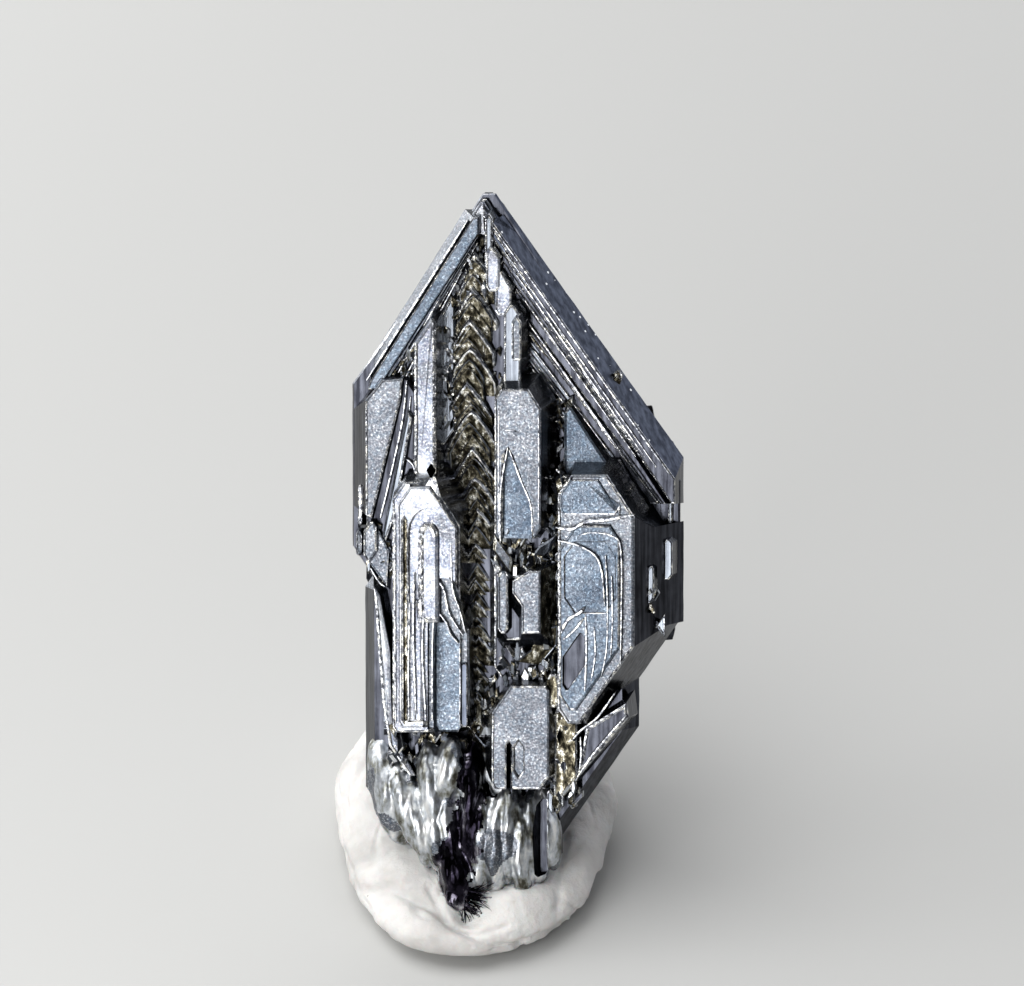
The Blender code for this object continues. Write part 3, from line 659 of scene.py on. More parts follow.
# %% [markdown]
# ## Main bodies
#
# The real crystal is one column whose wall is hidden under its plates. Here three bigger
# bodies lie under them: the pointed main one, a shorter one below it, and the root in the
# putty. Each is widest at a girdle and narrows to the front and back, which is what a
# six-sided prism does when one of its edges points sideways. One long prism would be
# simpler, but it couldn't narrow towards the root.

# %% Main bodies
BODY_FLARES = dict.fromkeys(SIDES, POINT_FLARE)
BODY_FLARES.update(top=0.3, bottom=0.3, left=PRISM_FLARE, right=PRISM_FLARE)
# Painted light and shade by side: the top wall gets the lit frost, most of the others the nearly
# black mirror.
BODY_WALLS = dict.fromkeys(SIDES, DARK)
BODY_WALLS.update(top=LIT_FROST, top_right=SLATE, top_left=FROSTED)
TIP_TOP = 20.62
GIRDLE = 0.3
BODY_BACK = -2.8
LEFT_SHOULDER = (-1.8, 17.65)


def body(outline, girdle, front_level, back_level, face):
    """A solid with this outline at its girdle, narrowing to its front and back levels."""
    points, edges = strayed(*outline)
    widest = [from_front_view(x, y, girdle) for x, y in points]
    sizes = [BODY_FLARES[edge] for edge in edges]
    front = spread(widest, [-size * (front_level - girdle) for size in sizes])
    back = spread(widest, [-size * (girdle - back_level) for size in sizes])
    rings = [placed(front, front_level), placed(widest, girdle), placed(back, back_level)]
    walls = [BODY_WALLS[edge] for edge in edges]
    return loft(grown, rings, [walls, [GREY] * len(walls)], (face, FROSTED))


points, edges = cut_outline(-3.78, 5.97, 5.6, TIP_TOP, (3.88, 5.47, 1.8, 2.96))
pointed = (points + [LEFT_SHOULDER], edges + ["top_left"])
main_body = body(pointed, GIRDLE, 0.4, BODY_BACK, DARK)
body(cut_outline(-3.42, 4.75, 1.2, 10.4, (1.0, 2.0, 2.5, 1.13)), 0.2, 0.9, -3.1, DARK)
body(cut_outline(-1.9, 2.2, -2.6, 4.6, (0.3, 0.3, 0.2, 0.3)), -0.2, 1.1, -2.4, GLASSY)
grown.objects.unlink(main_body)
bpy.context.scene.collection.objects.link(main_body)
print("main body:", len(main_body.data.polygons), "faces")

# %% [markdown]
# ## The two point faces
#
# The right point face is the crystal's most striking one: a smooth slate-blue facet
# outside, then fine steps that go down inwards like stairs, dark treads with bright noses.
# The steps are real; the darkness of the treads is painted shade, and the brightness of
# the noses a painted highlight.
# The left one is a frosted white band with a few lower ridges. Each step is a slab with one
# slanting inner side, and the next slab is lower and reaches further in. The steps aren't
# even: a few wide ones come first and the rest crowd together, as listed here. One stepped
# profile, swept along the slant, would be less work, but its steps would run dead parallel.

# %% The right point face
RIM_LEVEL = 1.05
RIM_FLOOR = 0.2
RIM_DIP = 0.03
RIGHT_CREST = (0.15, 20.1)
RIGHT_CORNER = (5.74, 12.15)
RIGHT_FOOT = 11.4
WALL_HEAD = Vector((0.1, 19.95))
WALL_FOOT = Vector((1.7, 14.95))
STEP_FLARE = 1.1
STEP_SLANT, STEP_SLANT_GAIN = 35.1, 2.2
CORNER_GAP = 0.12
RIGHT_STEPS = (
    # how far in, finish of the tread, width of its nose
    (0.0, DARK, 0.05), (0.1, SLATE, 0.075), (0.19, DARK, 0.03), (0.27, DARK, 0.035),
    (0.35, SLATE, 0.07), (0.44, DARK, 0.03), (0.52, DARK, 0.04), (0.6, DARK, 0.075),
    (0.69, DARK, 0.03), (0.77, GREY, 0.035), (0.85, DARK, 0.07), (0.93, DARK, 0.03),
    (1.01, GREY, 0.035), (1.09, DARK, 0.05), (1.17, GOLDEN, 0.04),
)
edges = ["top", "top_right", "right", "bottom", "bottom_left", "left"]
flares = {"top_right": POINT_FLARE, "bottom_left": STEP_FLARE, "left": 0.1}
level = RIM_LEVEL
for share, tread, nose in RIGHT_STEPS:
    start = WALL_HEAD.lerp(WALL_FOOT, share)
    slant = math.radians(STEP_SLANT + STEP_SLANT_GAIN * share + growth.uniform(-0.2, 0.2))
    inner_x = start.x + (start.y - RIGHT_FOOT) * math.tan(slant)
    points = [
        (WALL_HEAD.x, RIGHT_CREST[1] + 0.05),
        RIGHT_CREST,
        RIGHT_CORNER,
        (RIGHT_CORNER[0], RIGHT_FOOT),
        (min(inner_x, RIGHT_CORNER[0] - CORNER_GAP), RIGHT_FOOT),
        tuple(start),
    ]
    walls = {"bottom_left": growth.choice((DARK, DARK, GREY)), "top_right": SLATE}
    tablet(grown, (points, edges), level, level - RIM_FLOOR, flares, RIM_DIP, rim=nose,
           face=tread, walls=walls, shine=1.0)
    level -= growth.uniform(0.03, 0.042)
print("steps of the right point face:", len(RIGHT_STEPS), "down to level", round(level, 2))

# %% The left point face
LEFT_CREST = (-0.2, 19.9)
LEFT_CORNER = (-3.25, 15.1)
LEFT_STEP_DOWN = 0.08
# The lit frost of the white band is painted light, and the dark steps are painted shade.
LEFT_STEPS = (
    # how far in, finish of the face
    (0.17, PANEL), (0.26, LIT_FROST), (0.36, FROSTED), (0.46, LIT_FROST), (0.6, DARK),
    (0.74, FROSTED), (0.88, DARK), (1.04, GREY),
)
crest_x, crest_y = LEFT_CREST
corner_x, corner_y = LEFT_CORNER
edges = ["top", "right", "bottom_right", "bottom", "left", "top_left"]
flares = {"top_left": POINT_FLARE, "bottom_right": 0.5}
walls = {"top_left": FROSTED, "bottom_right": DARK}
for index, (inset, face) in enumerate(LEFT_STEPS):
    points = [
        (crest_x, crest_y),
        (crest_x + 0.15, crest_y),
        (crest_x + 0.15, crest_y - 0.3 - inset),
        (corner_x + inset * 1.3, corner_y - 0.25),
        (corner_x - 0.08, corner_y - 0.25),
        (corner_x, corner_y),
    ]
    level = RIM_LEVEL - LEFT_STEP_DOWN * index
    tablet(grown, (points, edges), level, level - RIM_FLOOR, flares, rim=0.05, face=face,
           walls=walls)
print("steps of the left point face:", len(LEFT_STEPS))

# %% [markdown]
# ## The long groove
#
# A hopper crystal grows faster at its edges than in the middle of its faces, so the middle
# stays behind as a groove, filled with nested arrowheads that mark each pause. They are
# one tablet, repeated down the groove by a loop: each leans in towards its foot, so only
# the bright edges of its point show over the dark face of the one above. The arms bend
# downwards like a Gothic arch, and no two are quite alike.

# %% The long groove
LEDGES = 46
LEDGE_TOP = 18.9
LEDGE_BOTTOM = 4.7
LEDGE_TAIL = 1.3
LEDGE_DIP = 0.36
LEDGE_LEVEL, LEDGE_CLIMB = 0.85, 0.3
LEDGE_DEPTH = 0.75
ARM_SLOPE = 1.5
BOLD_RIM = 0.13


def bell(y, middle, width):
    """1 in the middle, falling smoothly to 0 on both sides."""
    return math.exp(-(((y - middle) / width) ** 2))


def groove_centre(y):
    """How far right of the axis the groove's middle is: it bows to the left near the top."""
    return -0.1 - 0.25 * bell(y, 15.5, 2.6)


def groove_reach(y):
    """How far an arrowhead reaches to the left: the groove is widest near the top."""
    return 0.42 + 0.55 * bell(y, 15.2, 2.4)


def arrowhead(x, y, left, right, bend):
    """An outline with its point at x, y and arms that reach this far to each side."""
    shares = (0.25, 0.5, 0.75, 1.0)
    points, edges = [(x, y)], ["top_right"]
    for share in shares:
        points.append((x + right * share, y - ARM_SLOPE * right * share**bend))
        edges.append("top_right")
    edges[-1] = "right"
    foot = y - ARM_SLOPE * max(left, right) - LEDGE_TAIL
    points += [(x + right, foot), (x - left, foot)]
    edges += ["bottom", "left"]
    for share in reversed(shares):
        points.append((x - left * share, y - ARM_SLOPE * left * share**bend))
        edges.append("top_left")
    return points, edges


upright = {"left": 0.0, "right": 0.0}
# The olive faces are painted shade with painted glints, and the bright noses are painted
# highlights; the lean of each ledge is real.
walls = {"top_left": DARK, "top_right": GOLDEN}
for index in range(LEDGES):
    share = index / (LEDGES - 1)
    top = LEDGE_TOP + (LEDGE_BOTTOM - LEDGE_TOP) * share + growth.uniform(-0.1, 0.1)
    centre = groove_centre(top) + growth.uniform(-0.06, 0.06)
    bold = index % 3 == 0
    left = groove_reach(top) * (1.05 if bold else growth.uniform(0.75, 0.95))
    right = 0.75 if bold else growth.choice((0.42, 0.5, 0.58))
    outline = arrowhead(centre, top, left, right, growth.uniform(1.0, 1.45))
    level = LEDGE_LEVEL + LEDGE_CLIMB * share + growth.uniform(-0.06, 0.06)
    rim = BOLD_RIM * (1.0 - 0.5 * share) if bold else growth.choice((0.03, 0.045, 0.06))
    nose = BRIGHT if bold else growth.choice((BRIGHT, BRIGHT, LIT_FROST, GREY))
    tablet(grown, outline, level, LEDGE_DEPTH, upright, LEDGE_DIP, rim=rim, face=GOLDEN,
           edge=nose, walls=walls, shine=0.9)
print("ledges in the groove:", LEDGES)

# %% [markdown]
# ## Plates on the front
#
# The plates are separate growths of the same face, at different heights, and are named by
# where they are. They could be carved out of one block, but it is easier to give each its
# own level. Most are a base tablet with a face tablet on it, then windows sunk in, bars
# left standing in the windows, and beads over the face. The plates left of the groove have
# the whiter, lit frost, painted light for the side that catches more light, and lean a
# little to the left, towards that light.

# %% Plates left of the groove
LEAN_LEFT = 0.035

# each plate: left, right, bottom, top, its cuts, its level and its depth
plate(grown, -1.25, -0.75, 13.2, 17.9, (0.4, 0.1, 0.3, 0.1), 0.62, 0.4, {"right": 0.9}, rim=0.04,
      face=GREY, walls={"right": GREY})
plate(grown, -1.95, -1.29, 12.2, 16.9, (0.5, 0.1, 0.1, 0.1), 1.75, 1.4, {"right": 0.0},
      lean=LEAN_LEFT, rim=0.12, face=LIT_FROST)
plate(grown, -3.39, -1.9, 9.2, 15.2, (0.42, 0.3, 0.9, 0.35), 1.05, 0.75, {"left": PRISM_FLARE},
      face=DARK, walls={"left": DARK})
wedge = [(-2.9, 15.1), (-2.27, 15.15), (-2.34, 14.5), (-3.2, 11.0), (-3.39, 11.1), (-3.39, 14.5)]
tablet(grown, (wedge, ["top", "right", "right", "bottom", "left", "top_left"]), 1.25, 0.95,
       {"left": PRISM_FLARE}, lean=LEAN_LEFT, walls={"left": DARK})
ridge = [(-2.15, 14.2), (-2.0, 14.0), (-2.5, 11.2), (-2.8, 10.3), (-2.9, 10.5)]
tablet(grown, (ridge, ["top", "right", "right", "bottom", "left"]), 1.3, 0.6, face=GREY)
plate(grown, -3.62, -3.5, 10.8, 12.0, (0.05,) * 4, 0.95, 0.6, rim=0.04, face=BRIGHT)
plate(grown, -3.69, -3.5, 9.9, 10.65, (0.08, 0.08, 0.1, 0.05), 1.0, 0.8)
plate(grown, -3.45, -3.05, 9.75, 10.9, (0.2, 0.1, 0.2, 0.1), 1.4, 1.0)
lower_tab = [(-3.25, 10.9), (-3.1, 10.85), (-2.7, 10.0), (-2.76, 8.95), (-3.3, 9.7)]
tablet(grown, (lower_tab, ["top", "top_right", "right", "bottom_left", "left"]), 1.25, 0.8,
       rim=0.05)
plate(grown, -2.57, -0.57, 4.65, 12.1, (0.36, 0.84, 0.1, 0.1), 2.3, 2.0, {"right": 0.0},
      lean=LEAN_LEFT, face=LIT_FROST)
plate(grown, -2.42, -0.66, 4.8, 11.95, (0.36, 0.8, 0.1, 0.1), 2.42, 0.4, lean=LEAN_LEFT,
      face=LIT_FROST)
plate(grown, -1.4, -0.3, 5.0, 8.0, (0.9, 0.2, 0.1, 0.1), 2.1, 1.5, {"right": 0.0}, lean=LEAN_LEFT)
ridge = [(-3.15, 9.0), (-2.95, 8.7), (-2.65, 7.0), (-2.6, 5.0), (-2.3, 4.0), (-1.9, 3.3),
         (-2.1, 3.3), (-2.7, 4.2), (-2.9, 5.5)]
edges = ["top"] + ["right"] * 4 + ["bottom"] + ["left"] * 3
tablet(grown, (ridge, edges), 1.6, 0.8, lean=2 * LEAN_LEFT, rim=0.12, face=LIT_FROST)

# %% [markdown]
# ## The ridge from the tip, and the plates right of the groove
#
# A chain of small bright plates comes down from the tip and ends in the tall frosted slab
# in the middle. Beside its upper part the wall shows short slanting ribs: the worn ends of
# growth steps, which a few beads at random lengths stand for. Below the slab the plates
# are split, and their walls have the olive-gold finish of the hollows: painted shade with
# painted glints.

# %% Plates right of the groove
RIBS = 11
RIB_TOP, RIB_BOTTOM = Vector((1.22, 17.0)), Vector((1.62, 14.6))
RIB_RUN = Vector((0.9, -1.2))
RIB_LEVEL = 0.62

for sides, level, face in (
    ((-0.38, 0.66, 19.1, 20.44, (0.46, 0.46, 0.1, 0.1)), 0.6, FROSTED),
    ((-0.26, 0.44, 19.4, 20.36, (0.3, 0.3, 0.1, 0.1)), 0.75, LIT_FROST),
    ((0.14, 0.38, 18.4, 20.0, (0.1, 0.1, 0.05, 0.05)), 1.1, GREY),
    ((0.18, 0.6, 17.7, 19.0, (0.1, 0.2, 0.1, 0.1)), 1.25, LIT_FROST),
    ((0.45, 0.95, 17.0, 18.3, (0.1, 0.3, 0.1, 0.1)), 1.25, LIT_FROST),
):
    plate(grown, *sides, level, 1.0, rim=0.08, face=face, walls={"top_right": GREY})
plate(grown, 0.72, 1.22, 14.6, 17.3, (0.15, 0.2, 0.0, 0.1), 1.5, 1.2, face=GREY)
plate(grown, 0.93, 1.23, 15.66, 16.95, (0.12, 0.1, 0.05, 0.05), 1.75, 0.6)
plate(grown, 0.45, 1.83, 10.4, 14.82, (0.2, 0.39, 0.2, 0.1), 2.3, 1.5)
for index in range(RIBS):
    start = RIB_TOP.lerp(RIB_BOTTOM, index / (RIBS - 1))
    end = start + RIB_RUN * growth.uniform(0.5, 1.1)
    level = RIB_LEVEL + growth.uniform(-0.06, 0.1)
    bead(grown, (tuple(start), tuple(end)), (level, level - 0.05), growth.uniform(0.05, 0.1), 0.06,
         growth.choice((BRIGHT, GREY, GOLDEN, LIT_FROST)), 0.5)
olive = {"left": 0.35, "right": 0.5, "bottom": 0.9, "bottom_right": 0.9, "bottom_left": 0.9}
gold = {"right": GOLDEN, "top_right": GOLDEN}
plate(grown, 0.54, 0.86, 7.6, 9.45, (0.1, 0.08, 0.1, 0.1), 2.3, 0.5)
block = [(0.96, 9.15), (1.11, 9.24), (1.44, 9.45), (1.8, 9.45), (1.8, 7.59), (1.23, 7.56),
         (1.23, 8.4), (0.96, 8.79)]
edges = ["top_left", "top_left", "top", "right", "bottom", "left", "bottom_left", "left"]
tablet(grown, (block, edges), 2.38, 0.7, olive, walls=gold)
plate(grown, 0.54, 1.83, 7.4, 9.4, (0.2, 0.3, 0.3, 0.25), 1.95, 1.1, olive, face=DARK, walls=gold)
plate(grown, 0.42, 2.1, 6.3, 11.2, (0.2, 0.4, 0.3, 0.2), 1.6, 1.1, {"left": 0.35}, face=DARK)
plate(grown, 0.36, 2.07, 2.95, 6.05, (0.57, 0.1, 0.27, 0.1), 2.2, 1.4, {"left": 0.35})
olive_facet = [(1.5, 7.1), (1.8, 7.75), (2.3, 7.8), (2.25, 7.2), (1.75, 6.6), (1.05, 6.75)]
edges = ["top_left", "top", "right", "bottom_right", "bottom", "left"]
tablet(grown, (olive_facet, edges), 2.0, 0.7, dip=0.2, lean=0.25, rim=0.05, face=GOLDEN, edge=GREY)
plate(grown, 2.0, 2.35, 5.4, 6.4, (0.1,) * 4, 2.05, 0.9, face=GOLDEN)

# %% [markdown]
# ## The broad plate
#
# The widest plate is on the right. It has a blue frost inside a bright frame. The frame
# could be four strips, but here it is what still shows of a bright tablet, round the blue
# ones that lie on it a tenth of a millimetre higher. A leaf-shaped plate lies under its
# foot, and narrow strips run up the side face to its right.

# %% The broad plate
plate(grown, 2.3, 4.57, 4.9, 12.3, (0.4, 0.81, 1.6, 0.3), 2.2, 2.0,
      {"right": PRISM_FLARE, "bottom_right": 0.3}, rim=0.1)
plate(grown, 2.35, 4.15, 5.3, 10.8, (0.5, 0.3, 1.3, 0.3), 2.32, 0.5, face=PANEL)
plate(grown, 2.4, 4.1, 11.1, 12.15, (0.3, 0.6, 0.1, 0.1), 2.26, 0.4, rim=0.05, face=PANEL)
plate(grown, 2.5, 3.75, 12.3, 14.3, (0.1, 1.05, 0.1, 0.1), 1.0, 0.8, face=PANEL)
leaf = [(3.15, 4.8), (4.35, 5.55), (4.41, 5.1), (2.85, 3.2)]
tablet(grown, (leaf, ["top", "right", "bottom_right", "left"]), 1.55, 0.9, rim=0.12, face=DARK)
plate(grown, 2.2, 2.9, 2.6, 6.2, (0.2, 0.3, 0.5, 0.1), 1.6, 0.9, face=GOLDEN)
for sides, level in (
    ((5.42, 5.7, 9.2, 10.4, (0.1, 0.08, 0.1, 0.05)), 0.95),
    ((5.59, 5.71, 8.3, 11.9, (0.05,) * 4), 0.55),
    ((4.95, 5.15, 8.5, 9.6, (0.1, 0.05, 0.1, 0.05)), 1.6),
    ((5.05, 5.45, 7.55, 8.1, (0.1, 0.3, 0.35, 0.05)), 1.3),
):
    plate(grown, *sides, level, 0.7, rim=0.05, face=GREY)

# %% [markdown]
# ## The melted root
#
# Towards the putty the sharp plates end in glassy, half-melted lobes that run down and into
# each other like wax. They could be sculpted by hand. Here they are ellipsoids drawn out
# along the column and joined by a voxel remesh, which melts the creases between them, then
# pushed about by three sizes of drawn-out noise. The remesh works in millimetres, because
# its smallest voxel would be too big in metres. Every face of the skin then gets its
# finish: purple-black near a line down the longest lobe, with a ragged border, and glassy
# elsewhere, apart from patches that are frosted like the plates.

# %% The melted root
LOBES = (
    # across, up, level, half sizes, turn in degrees
    (-2.6, 2.9, 0.5, (0.6, 1.7, 1.1), 12.0),
    (-2.1, 2.5, 0.9, (0.45, 1.5, 0.95), 14.0),
    (-1.75, 1.9, 1.0, (0.4, 1.4, 1.0), 14.0),
    (-1.35, 2.9, 1.35, (0.45, 1.5, 0.75), 8.0),
    (-0.85, 3.5, 1.5, (0.5, 1.1, 0.7), -6.0),
    (-1.2, 1.6, 1.15, (0.4, 1.3, 0.95), 10.0),
    (-0.75, 1.5, 1.3, (0.42, 1.8, 0.9), 6.0),
    (-0.2, 2.2, 1.25, (0.42, 2.3, 0.9), 0.0),
    (-0.6, 0.4, 1.35, (0.6, 1.2, 0.95), 10.0),
    (-0.62, -0.25, 1.45, (0.5, 0.85, 0.8), 8.0),
    (0.15, 1.4, 1.25, (0.4, 1.8, 0.95), -2.0),
    (0.55, 1.3, 1.4, (0.36, 1.6, 0.9), -3.0),
    (0.95, 1.7, 1.25, (0.36, 1.6, 0.95), 0.0),
    (1.3, 1.1, 1.3, (0.34, 1.4, 0.9), 3.0),
    (1.7, 1.6, 0.95, (0.36, 1.5, 0.95), 4.0),
    (2.05, 1.9, 0.7, (0.34, 1.4, 0.9), 8.0),
)
ROOT_VOXEL = 0.06


def in_scene(name, data):
    made = bpy.data.objects.new(name, data)
    bpy.context.scene.collection.objects.link(made)
    return made


root = bmesh.new()
for x, y, level, half_size, turn in LOBES:
    u, v = from_front_view(x, y, level)
    place = Matrix.Translation((u, v, level)) @ Matrix.Rotation(math.radians(turn), 4, "Z")
    place = place @ Matrix.Diagonal((*half_size, 1.0))
    bmesh.ops.create_icosphere(root, subdivisions=4, radius=1.0, matrix=place)
data = bpy.data.meshes.new("lobes")
root.to_mesh(data)
lobes = in_scene("lobes", data)
melt = lobes.modifiers.new("Melt", "REMESH")
melt.mode = "VOXEL"
melt.voxel_size = ROOT_VOXEL
soften = lobes.modifiers.new("Soften", "SMOOTH")
soften.iterations = 3
graph = bpy.context.evaluated_depsgraph_get()
root.clear()
root.from_mesh(lobes.evaluated_get(graph).data)
bpy.data.objects.remove(lobes)
print("lobes melted into", len(root.faces), "faces")

# %% Skin of the root
MURKY_LINE = ((-0.15, 4.2), (-0.1, 3.0), (-0.45, 1.6), (-0.75, 0.6), (-0.6, -1.0))
MURKY_WIDTH = 0.42
FROSTED_SHARE = 0.3


def distance_to(line, place):
    """How far a point of the front view is from a broken line."""
    nearest = math.inf
    for start, end in zip(line, line[1:]):
        along = Vector(end) - Vector(start)
        share = (place - Vector(start)).dot(along) / along.length_squared
        nearest = min(nearest, (place - Vector(start) - along * max(0.0, min(1.0, share))).length)
    return nearest


def murkiness(x, y):
    """How far inside the purple-black streak a point is: above 0 is inside."""
    return MURKY_WIDTH * (1.25 - 0.2 * y / 4.2) - distance_to(MURKY_LINE, Vector((x, y)))


root.normal_update()
for corner in root.verts:
    u, v, w = corner.co
    drawn_out = Vector((u * 1.7 + 0.3 * math.sin(v), v * 0.5, w * 1.5))
    # two sizes of ripple, and a fine one that is deepest where bell() has its middle
    push = 0.13 * noise.noise(drawn_out) + 0.06 * noise.noise(drawn_out * 2.4)
    push += (0.02 + 0.012 * bell(u, 0.9, 1.2)) * noise.noise(drawn_out * 5.5)
    corner.co += corner.normal * push
turned = crystal_frame().to_3x3()
for face in root.faces:
    seen = turned @ face.calc_center_median()
    patchy = 0.25 * noise.noise(seen * 1.3) + 0.22 * noise.noise(seen * 4.5)
    inside = murkiness(seen.x, seen.dot(FRONT_VIEW_UP)) + patchy > 0.0
    frosted = noise.noise(seen * 1.1) > FROSTED_SHARE
    face.material_index = MURKY if inside else FROSTED if frosted else GLASSY
    face.smooth = True
print("faces of the purple-black streak:",
      sum(face.material_index == MURKY for face in root.faces), "of", len(root.faces))
keep_solid(grown, root)

# %% [markdown]
# ## The back
#
# Nothing shows the back, so it is grown by the same rules as the front: tall plates, a
# grooved middle with nested arrowheads, and windows, which are cut with the front ones
# below. A rear tablet is made like a front one, with its outline drawn as seen from
# behind, and is then turned half round about the column.

# %% The back
REAR_PLATES = (
    # outline as seen from behind, level, depth
    ((-4.0, -2.5, 6.2, 13.0, (0.5, 0.4, 0.3, 0.8)), 2.95, 1.2),
    ((-2.3, -0.55, 4.0, 15.6, (0.9, 0.25, 0.3, 0.5)), 3.35, 1.2),
    ((-2.1, -0.9, 8.6, 14.6, (0.6, 0.2, 0.2, 0.4)), 3.5, 0.6),
    ((0.35, 1.5, 2.4, 14.0, (0.25, 0.6, 0.4, 0.2)), 3.4, 1.2),
    ((0.5, 1.3, 3.2, 8.2, (0.2, 0.4, 0.2, 0.2)), 3.55, 0.6),
    ((1.6, 2.4, 5.2, 12.2, (0.2, 0.4, 0.5, 0.2)), 3.05, 1.0),
    ((-1.9, -0.6, 1.4, 5.4, (0.3, 0.5, 0.3, 0.5)), 3.2, 1.2),
)
REAR_LEDGES = 26
REAR_GROOVE, REAR_ARROWHEAD = (-0.75, 0.5), (0.65, 0.6, 0.0, 0.0)
REAR_LEDGE_TOP, REAR_LEDGE_STEP, REAR_LEDGE_TALL = 15.4, 0.47, 1.6
REAR_LEDGE_LEVEL, REAR_LEDGE_DEPTH, REAR_LEDGE_DIP = 3.1, 0.7, 0.26


def rear_tablet(outline, level, depth, dip=0.0, face=LIT_FROST):
    """A plate on the back, with all of its edge bright."""
    points, edges = strayed(*outline)
    rings = []
    for inset, drop in ((RIM, SINK), (CREST_INSET * RIM, 0.0), (0.0, EDGE_DROP * RIM),
                        (-PLATE_FLARE * depth, depth)):
        rings.append(turned_round(placed(spread(points, -inset), level - drop, dip)))
    # All of the edge gets the bright finish, a painted highlight.
    bright = [BRIGHT] * len(points)
    loft(grown, rings, [bright, bright, [WALLS[edge] for edge in edges]], (face, DARK))


for sides, level, depth in REAR_PLATES:
    rear_tablet(cut_outline(*sides), level, depth)
for index in range(REAR_LEDGES):
    top = REAR_LEDGE_TOP - REAR_LEDGE_STEP * index + growth.uniform(-0.06, 0.06)
    outline = cut_outline(*REAR_GROOVE, top - REAR_LEDGE_TALL, top, REAR_ARROWHEAD)
    rear_tablet(outline, REAR_LEDGE_LEVEL, REAR_LEDGE_DEPTH, REAR_LEDGE_DIP, GOLDEN)
print("plates and ledges at the back:", len(REAR_PLATES) + REAR_LEDGES)

# %% [markdown]
# ## The flanks
#
# Behind its widest line the crystal narrows again, and these rear prism walls carry tall,
# low plates of their own, frosted on top and dark at their sides. They can't be drawn in
# the front view, which doesn't see them. Each is drawn on its wall instead, sideways from
# the middle of the wall and up along the column, and two vectors take it there.

# %% The flanks
FLANK_PLATES = (
    # side, half width there, level of the middle, outline on the wall, height
    (1, 6.12, -0.9, (-0.75, 0.2, 7.6, 13.6, (0.2, 0.3, 0.3, 0.2)), 0.09),
    (1, 6.12, -0.9, (-0.55, 0.0, 8.6, 12.6, (0.15, 0.2, 0.2, 0.15)), 0.17),
    (1, 6.12, -0.9, (0.5, 1.0, 7.2, 11.8, (0.2, 0.1, 0.1, 0.2)), 0.1),
    (1, 6.12, -1.6, (0.2, 0.8, 9.4, 14.4, (0.2, 0.3, 0.1, 0.2)), 0.08),
    (-1, 3.78, -0.9, (-0.2, 0.75, 8.9, 15.0, (0.3, 0.2, 0.2, 0.3)), 0.09),
    (-1, 3.78, -0.9, (0.0, 0.55, 9.8, 13.8, (0.2, 0.15, 0.15, 0.2)), 0.17),
    (-1, 3.78, -0.9, (-1.0, -0.5, 8.6, 12.8, (0.1, 0.2, 0.2, 0.1)), 0.1),
    (-1, 3.4, -1.2, (-0.9, -0.2, 3.6, 9.2, (0.2, 0.2, 0.2, 0.2)), 0.1),
    (-1, 3.4, -1.2, (0.1, 0.8, 2.6, 8.4, (0.3, 0.2, 0.2, 0.2)), 0.14),
    (1, 4.8, -1.2, (-0.8, -0.1, 5.2, 7.2, (0.2, 0.2, 0.2, 0.2)), 0.1),
)
FLANK_ROOT = -0.4

for side, half_width, level, sides, height in FLANK_PLATES:
    points, edges = strayed(*cut_outline(*sides))
    out = Vector((side, 0.0, -PRISM_FLARE)).normalized()
    across = Vector((0.0, 1.0, 0.0)).cross(out)
    middle = Vector((side * (half_width - PRISM_FLARE * (GIRDLE - level)), 0.0, level))
    rings = []
    for inset, rise in ((RIM, height - SINK), (CREST_INSET * RIM, height),
                        (0.0, height - 0.5 * RIM), (0.0, FLANK_ROOT)):
        ring = spread(points, -inset)
        rings.append([tuple(middle + across * a + Vector((0.0, b, 0.0)) + out * rise)
                      for a, b in ring])
    # The bright edges are painted highlights, and the dark sides are painted shade.
    bright = [BRIGHT] * len(points)
    loft(grown, rings, [bright, bright, [DARK] * len(points)], (FROSTED, DARK))
print("plates on the flanks:", len(FLANK_PLATES))

# %% [markdown]
# ## Windows, and the bars left in them
#
# Where a face fell far behind its edges, it was left as a window with a flat floor. A plate
# could be built with a hole in it, but it is simpler to cut each window out of the joined
# solid, with a bright sloping lip and a dark wall: a painted highlight on the lip and painted
# shade on the wall. Bars that grew on inside a window are put back afterwards, and so is
# everything else that stands on the faces.

# %% Windows
REAR_WINDOWS = (
    # outline as seen from behind, level, depth
    ((-3.6, -2.85, 7.2, 11.7, (0.2, 0.2, 0.2, 0.3)), 2.95, 0.2),
    ((-1.85, -1.15, 9.4, 13.6, (0.35, 0.1, 0.1, 0.2)), 3.5, 0.28),
    ((-1.7, -0.85, 4.6, 7.9, (0.2, 0.3, 0.2, 0.1)), 3.35, 0.2),
    ((0.6, 1.2, 8.9, 12.9, (0.1, 0.3, 0.2, 0.1)), 3.4, 0.22),
    ((0.75, 1.1, 3.9, 7.3, (0.1, 0.2, 0.1, 0.1)), 3.55, 0.25),
    ((1.8, 2.2, 6.3, 10.9, (0.1, 0.2, 0.2, 0.1)), 3.05, 0.15),
)

